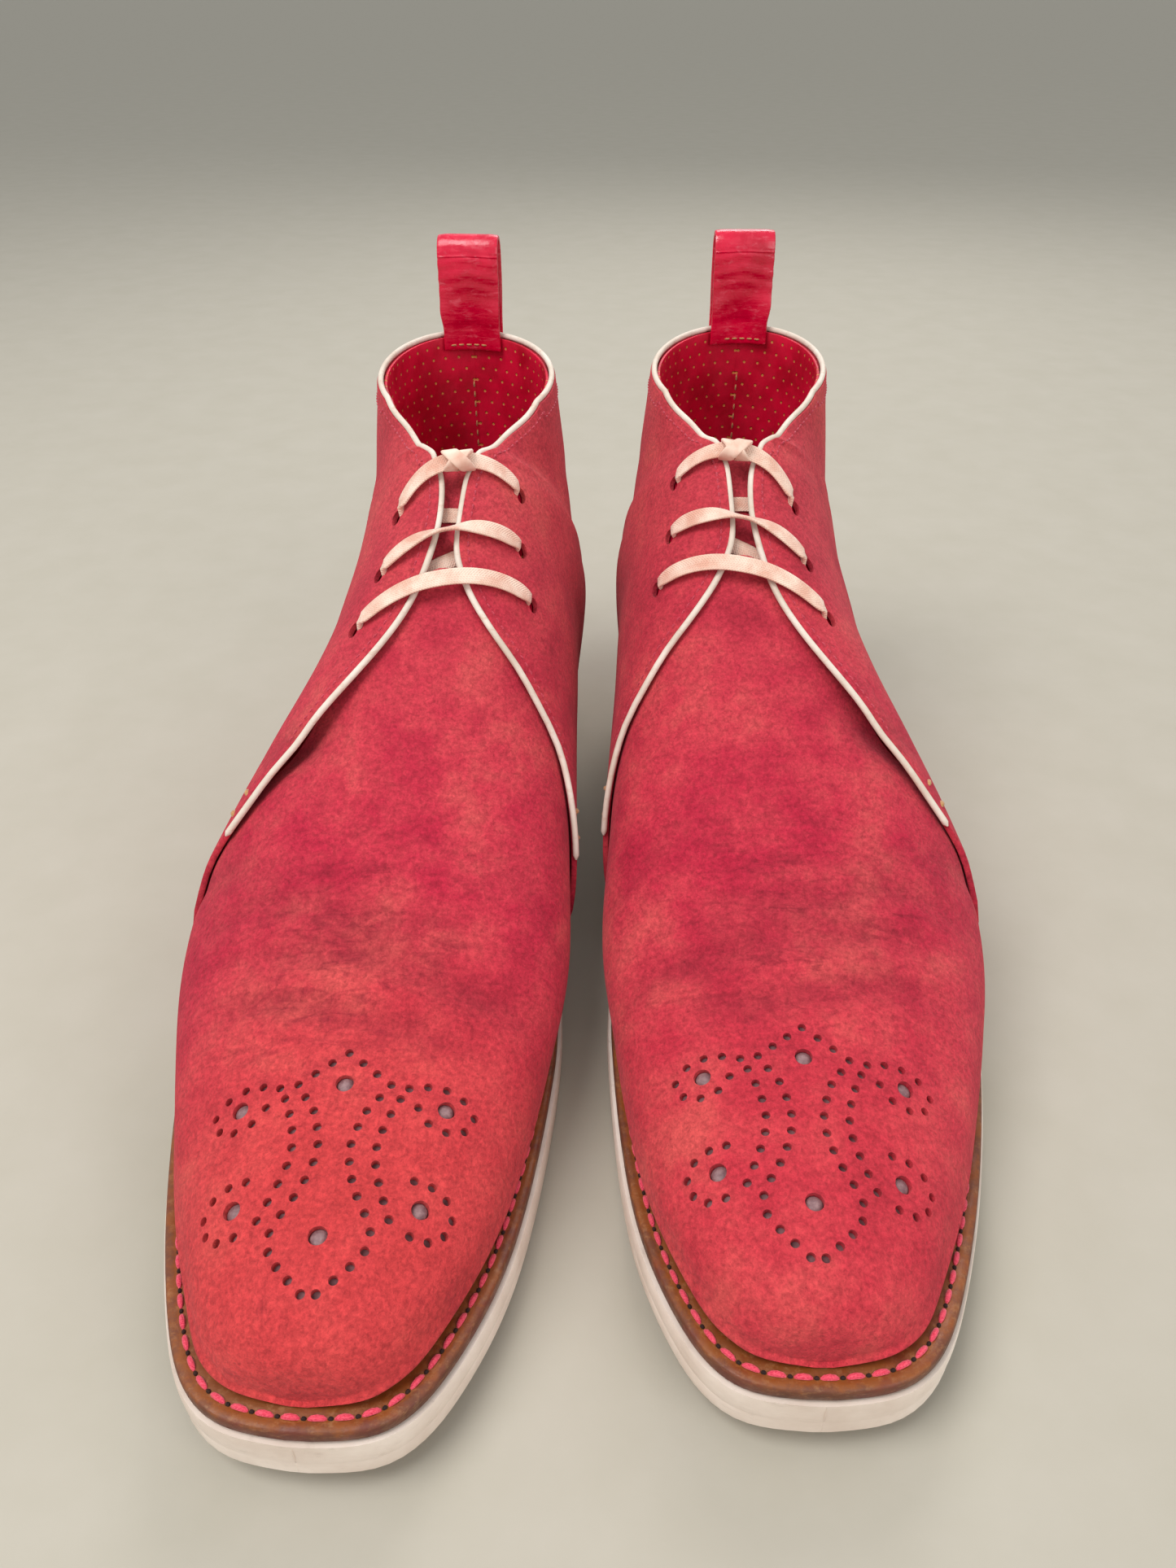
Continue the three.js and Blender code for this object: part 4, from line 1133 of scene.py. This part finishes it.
def back_seams():
    """Stitches beside the back seam, outside on the suede and inside on the lining."""
    k = np.linspace(14.15, 16.75, 120)
    rows = []
    for side in (1, -1):
        a = np.full_like(k, side * 177.0)
        rows.append(seam(wall(k, a, TOP_BUILD + 0.05), outward(k, a), *BACK_STITCH))
    add_pair("back_seam", joined(rows), RED_THREAD)
    k = k[70:]
    a = np.full_like(k, 178.8)
    row = seam(wall(k, a, lining_depth(k, a) - 0.1), -outward(k, a), *LINING_STITCH)
    add_pair("lining_seam", row, GOLD_THREAD)


# ---- pull loop ------------------------------------------------------------------------------
LOOP_FOOT = 16.72
LOOP_FOOT_INSIDE = 16.93
LOOP_SPREAD = 2 * math.degrees(math.asin(LOOP_WIDTH / 2 / 26))


def strap_middle():
    """Depth, height and bow of the strap from its inner foot, over the loop, to its outer foot."""
    middle = LOOP_MIDDLE
    reach = (LOOP_GAP + LOOP_THICK) / 2
    top = collar_back[2] + LOOP_HEIGHT
    low = TAB_TOP + 0.9
    half = [(loop_front, low), (lerp(loop_front, middle - reach, 0.7), low + 5),
            (middle - reach, low + 11), (middle - reach - 0.2, top - 12), (middle - reach, top - 7)]
    bend = [(middle - reach * math.cos(w), top - 7 + (7 - LOOP_THICK / 2) * math.sin(w))
            for w in np.linspace(0.2, math.pi - 0.2, 9)]
    rear = [(2 * middle - y, z) for y, z in half[::-1]]
    return np.array([*half, *bend, *rear])


def strap_piece():
    v = np.linspace(0, 1, 25)
    free = row_curve(strap_middle())(np.linspace(0, len(strap_middle()) - 1, 90))
    rows, crowns = [], []
    for depth, flip in ((TAB_INSIDE + LOOP_THICK / 2, False), (TAB_OUTSIDE + LOOP_THICK / 2, True)):
        foot = LOOP_FOOT if flip else LOOP_FOOT_INSIDE
        reach = abs(wall(COLLAR, 180 + LOOP_SPREAD / 2, depth)[0] - collar_back[0])
        spread = 180 + (v - 0.5) * LOOP_SPREAD * (LOOP_WIDTH / 2) / reach
        tab = wall(np.linspace(foot, COLLAR, 10)[:-1, None], spread[None, :], depth)
        crown = wall(COLLAR, spread, depth)
        crowns.append(crown)
        climb = np.array([np.column_stack([crown[:, :2], np.full(len(v), z)])
                          for z in (collar_back[2] + 1, TAB_TOP)])
        leg = np.concatenate([tab, climb])
        rows.append(leg[::-1] if flip else leg)
    x = collar_back[0] + (v - 0.5) * LOOP_WIDTH * -1
    loop = []
    for i, (y, z) in enumerate(free):
        crown = crowns[0 if i < len(free) / 2 else 1]
        bow = crown[:, 1] - crown[len(v) // 2, 1]
        loop.append(np.column_stack([lerp(crown[:, 0], x, smooth(0, 6, z - TAB_TOP)),
                                     y + bow * smooth(14, 0, z - TAB_TOP), np.full(len(v), z)]))
    loop = np.array(loop)
    surface = np.concatenate([rows[0], loop, rows[1]])
    ridge = np.abs(np.linspace(-1, 1, len(v)))
    run = unit(np.gradient(surface, axis=0))
    side = unit(np.gradient(surface, axis=1))
    out = unit(np.cross(run, side))
    thick = (LOOP_THICK / 2 - 0.25 * smooth(0.75, 1.0, ridge))[None, :, None]
    far = np.linspace(0, STRAP_LONG, len(surface))[:, None]
    wave = 0.16 * np.sin(far * 1.7 + 3 * ridge) * np.exp(-((far - 22) / 9) ** 2)
    uv = paired(far, v[None, :] * LOOP_WIDTH)
    shape = slab(surface + out * (thick + wave[..., None]), surface - out * thick, uv)
    add_pair("strap", shape, STRAP_LOOK,
             ["pull_loop", "loop_tab_inside", "loop_tab_outside"], body="strap")


def strap_seams():
    rows = []
    a = 180 + np.linspace(-0.44, 0.44, 40) * LOOP_SPREAD
    for level, depth, way in ((16.80, TAB_OUTSIDE + LOOP_THICK + 0.02, 1),
                              (16.93, TAB_OUTSIDE + LOOP_THICK + 0.02, 1),
                              (16.96, TAB_INSIDE - 0.02, -1)):
        k = np.full_like(a, level)
        rows.append(seam(wall(k, a, depth), way * outward(k, a), *STRAP_STITCH))
    add_pair("strap_seam", joined(rows), GOLD_THREAD)


# ---- laces ----------------------------------------------------------------------------------


def lace_bar(row, roll, arch):
    """The middle line and the shape of one bar; roll in degrees turns it over near its middle."""
    k0, a0 = EYELETS[-1][row]
    k1, a1 = EYELETS[1][row]
    t = np.linspace(0, 1, 48)
    inside = LINING_RAISED + 0.5
    riding = TOP_BUILD + CLEAR + LACE_THICK / 2 + LACE_LIFT * 4 * t * (1 - t)
    depth = lerp(inside, riding, smooth(0, 0.045, np.minimum(t, 1 - t)))
    reach = lerp(-0.012, 1.012, t)
    k, a = lerp(k0, k1, reach) + arch * 4 * t * (1 - t), lerp(-a0, a1, reach)
    path = wall(k, a, depth)
    across = wall(k - 0.1, a, depth) - wall(k + 0.1, a, depth)
    turn = np.radians(roll) * np.exp(-((t - 0.55) / 0.16) ** 2)[:, None]
    across = unit(across) * np.cos(turn) + outward(k, a) * np.sin(turn)
    return path, ribbon(path, across, LACE_SHOWN, LACE_THICK, gather=0.4)


def lace_under(row):
    first, then = (-1, 1) if row % 2 else (1, -1)
    k0, a0 = EYELETS[first][row]
    k1, a1 = EYELETS[then][row + 1]
    t = np.linspace(0, 1, 36)
    k = lerp(k0 + 0.3, k1, t)
    a = first * lerp(a0 - 4, 4 - a1, t)
    depth = TONGUE_FACE + 0.3 + CLEAR - 0.2 + LACE_THICK / 2
    across = wall(k - 0.1, a, depth) - wall(k + 0.1, a, depth)
    return ribbon(wall(k, a, depth), across, LACE_WIDTH - 0.8, LACE_THICK - 0.3)


def lace_knot(bar):
    """An overhand knot pulled tight round the middle of the top lace."""
    middle = bar[len(bar) // 2]
    run = unit(bar[len(bar) // 2 + 2] - bar[len(bar) // 2 - 2])
    up = unit(np.cross(run, np.cross([0, 0.5, 1.0], run)))
    side = np.cross(up, run)
    wraps = []
    for lean, start, turns, size in ((1.3, 0.2, 1.2, 3.1), (-1.2, 2.2, 1.15, 2.7)):
        w = np.linspace(start, start + turns * 2 * math.pi, 40)
        cos, sin = np.cos(w)[:, None], np.sin(w)[:, None]
        path = middle + run * lean * 1.9 * cos + up * size * 0.8 * cos + side * size * 1.15 * sin
        across = run + 0.25 * up * sin
        wraps.append(ribbon(path, across, 4.0, 1.3))
    return joined(wraps)


def lace_pieces():
    for row, name, roll, arch in ((0, "bottom", 0, 0.1), (1, "middle", 55, 0.15),
                                  (2, "top", -14, 0.75)):
        path, shape = lace_bar(row, roll, arch)
        add_pair(f"lace_{name}", shape, LACE_LOOK, [f"lace_{name}"], sharp=80)
    add_pair("lace_knot", lace_knot(path), LACE_LOOK, ["lace_knot"], sharp=80)
    for row, name in ((0, "low"), (1, "high")):
        add_pair(f"lace_under_{name}", lace_under(row), LACE_LOOK,
                 [f"lace_under_{name}"], sharp=80)


# ---- the bottom -----------------------------------------------------------------------------


def feather(k, side, grow):
    """Corner where the upper meets the bottom, in plan, moved outwards by grow."""
    def raw(q):
        base_s, _, _, _, half, base_x, _, cut = section(q)
        return np.stack([base_x + side * half * np.sin(np.radians(cut)) ** 0.94, -base_s], -1)
    k = np.asarray(k, float)
    run = unit(raw(np.minimum(HEEL_ROW, k + 0.03)) - raw(np.maximum(0, k - 0.03)))
    normal = np.stack([-run[..., 1], run[..., 0]], -1)
    return raw(k) + normal * (-side * np.asarray(grow))[..., None]


def extension(k):
    return (SOLE_EXTENSION - 0.6 * smooth(4.2, 6.2, k) - 1.8 * smooth(6.2, 8.4, k)
            + 0.7 * smooth(9.5, 11.5, k))


MIDSOLE_HIGH = -WELT - CLEAR
OUTSOLE_HIGH = MIDSOLE_HIGH - MIDSOLE - CLEAR
HEEL_HIGH = OUTSOLE_HIGH - OUTSOLE - CLEAR
JOIN = 0.2                    # how far each layer of the bottom closes on the next


def even_feather(k0, k1, count):
    k = np.linspace(k0, k1, 900)
    return evenly(k, feather(k, 1, np.zeros_like(k)), count)


def plate(grow, low, high, first=0.0, end=HEEL_ROW, rows=150, cols=25, bulge=0.35, flat=()):
    """A layer of the bottom; its levels count from the seat, those in flat from the floor."""
    k = even_feather(first, end, rows)[:, None]
    v = np.linspace(0, 1, cols)[None, :, None]
    spread = grow(k)
    plan = lerp(feather(k, -1, spread), feather(k, 1, spread), v)

    def face(level):
        rise = 0 if level in flat else seat(-plan[..., 1:])
        return np.concatenate([plan, np.full_like(plan[..., :1], level) + rise], -1)
    return slab(face(high), face(low), bulge=bulge)


def section_at(s):
    k = np.linspace(0, HEEL_ROW, 2000)
    return float(np.interp(-s, -section(k)[0], k))


def loop_rows(count):
    """Evenly spaced places round the whole feather line: section and side."""
    half = even_feather(0, HEEL_ROW, count // 2)
    k = np.concatenate([half, half[-2:0:-1]])
    side = np.concatenate([np.ones(len(half)), -np.ones(len(half) - 2)])
    return k, side


def welt_piece():
    k, side = loop_rows(420)
    far = extension(k) - 0.7
    profile = [(-2.4, 0.0), (-0.8, 0.05), (0.1, 0.0), (0.6, -0.16), (1.2, -0.16), (1.9, -0.02)]
    edge = [(-0.55, -0.02), (-0.18, -0.3), (0.0, -0.9), (0.05, -1.8), (0.0, -2.7), (-0.25, -3.3)]
    columns = ([(np.full_like(k, grow), z) for grow, z in profile]
               + [(far + grow, z) for grow, z in edge]
               + [(np.full_like(k, -2.4), -WELT - JOIN)])
    rings = []
    for grow, z in columns:
        plan = np.array([feather(q, s, g) for q, s, g in zip(k, side, grow)])
        rings.append(np.column_stack([plan, seat(-plan[:, 1]) + z]))
    grid = np.stack(rings, 1)
    uv = paired(np.arange(len(k))[:, None] * 1.6, np.linspace(0, 1, len(columns))[None, :])
    add_pair("welt", sweep(grid, closed=True, uv=uv), WELT_LOOK, ["welt"], sharp=70)


WELT_SEAM_END = 11.0


def welt_seams():
    k = even_feather(0.02, WELT_SEAM_END, 260)
    k = np.concatenate([k[::-1], k[1:]])
    side = np.concatenate([np.ones(260), -np.ones(259)])
    plan = np.array([feather(q, s, 0.85) for q, s in zip(k, side)])
    path = np.column_stack([plan, seat(-plan[:, 1]) + 0.12])
    stitches = seam(path, np.tile(UP, (len(path), 1)), *WELT_STITCH)
    add_pair("welt_seam", stitches, PINK_THREAD, ["welt_stitch"])
    # Painted shade: short near-black marks sunk into the welt between the stitches stand in for the
    # shade inside the stitch holes.
    fine = resampled(path, 4000)
    far = run_length(fine)
    holes = []
    pitch = WELT_STITCH[0]
    for n in range(int(far[-1] / pitch)):
        ends = at_distances(fine, far, [n * pitch + 3.75, n * pitch + 4.85])
        holes.append(stitch(ends[0], ends[1], UP, 0.42))
    points, faces = joined(holes)
    points = points - (0, 0, 0.22)
    add_pair("welt_hole_shade", (points, faces), HOLE_SHADE_LOOK)


def bottom_pieces():
    add_pair("midsole", plate(extension, MIDSOLE_HIGH - MIDSOLE - JOIN, MIDSOLE_HIGH, bulge=0.12),
             SOLE_LOOK, ["midsole"])
    add_pair("outsole", plate(lambda k: extension(k) - 0.12, OUTSOLE_HIGH - OUTSOLE,
                              OUTSOLE_HIGH, bulge=0.1),
             SOLE_LOOK, ["outsole"])
    heel = section_at(HEEL_LENGTH)
    heel_low = TOP_PIECE + CLEAR - JOIN
    add_pair("heel_block", plate(lambda k: extension(k) - 0.6, heel_low, HEEL_HIGH, heel,
                                 rows=80, bulge=0.05, flat=(heel_low,)), SOLE_LOOK,
             ["heel_block"])
    add_pair("top_piece", plate(lambda k: extension(k) - 0.8, 0.0, TOP_PIECE,
                                section_at(HEEL_LENGTH - 0.6), rows=80, bulge=0.1,
                                flat=(0.0, TOP_PIECE)), SOLE_LOOK, ["top_piece"])
    add_pair("sock_liner", plate(lambda k: np.full_like(k, -SOCK_INSET), CLEAR - 0.4,
                                 CLEAR - 0.4 + SOCK, 0.15, HEEL_ROW - 0.6), LINING_LOOK,
             ["sock_liner"])


def hidden_pieces():
    """CAD nodes inside the boot that keep their shape."""
    for side in SIDES:
        for node, look in (("toe_puff", BACKING_LOOK), ("heel_counter", BOARD_LOOK),
                           ("insole_board", BOARD_LOOK), ("cork_filler", CORK_LOOK),
                           ("shank", STEEL_LOOK)):
            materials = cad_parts[f"{side}_{node}"].data.materials
            materials.clear()
            materials.append(look)


vamp_piece()
medallion_backing()
for turned, word in ((1, "outer"), (-1, "inner")):
    quarter_piece(turned, word)
    lining_piece(turned, word)
tongue_piece()
piping_piece()
edge_seams()
bar_tacks()
back_seams()
strap_piece()
strap_seams()
lace_pieces()
welt_piece()
welt_seams()
bottom_pieces()
hidden_pieces()
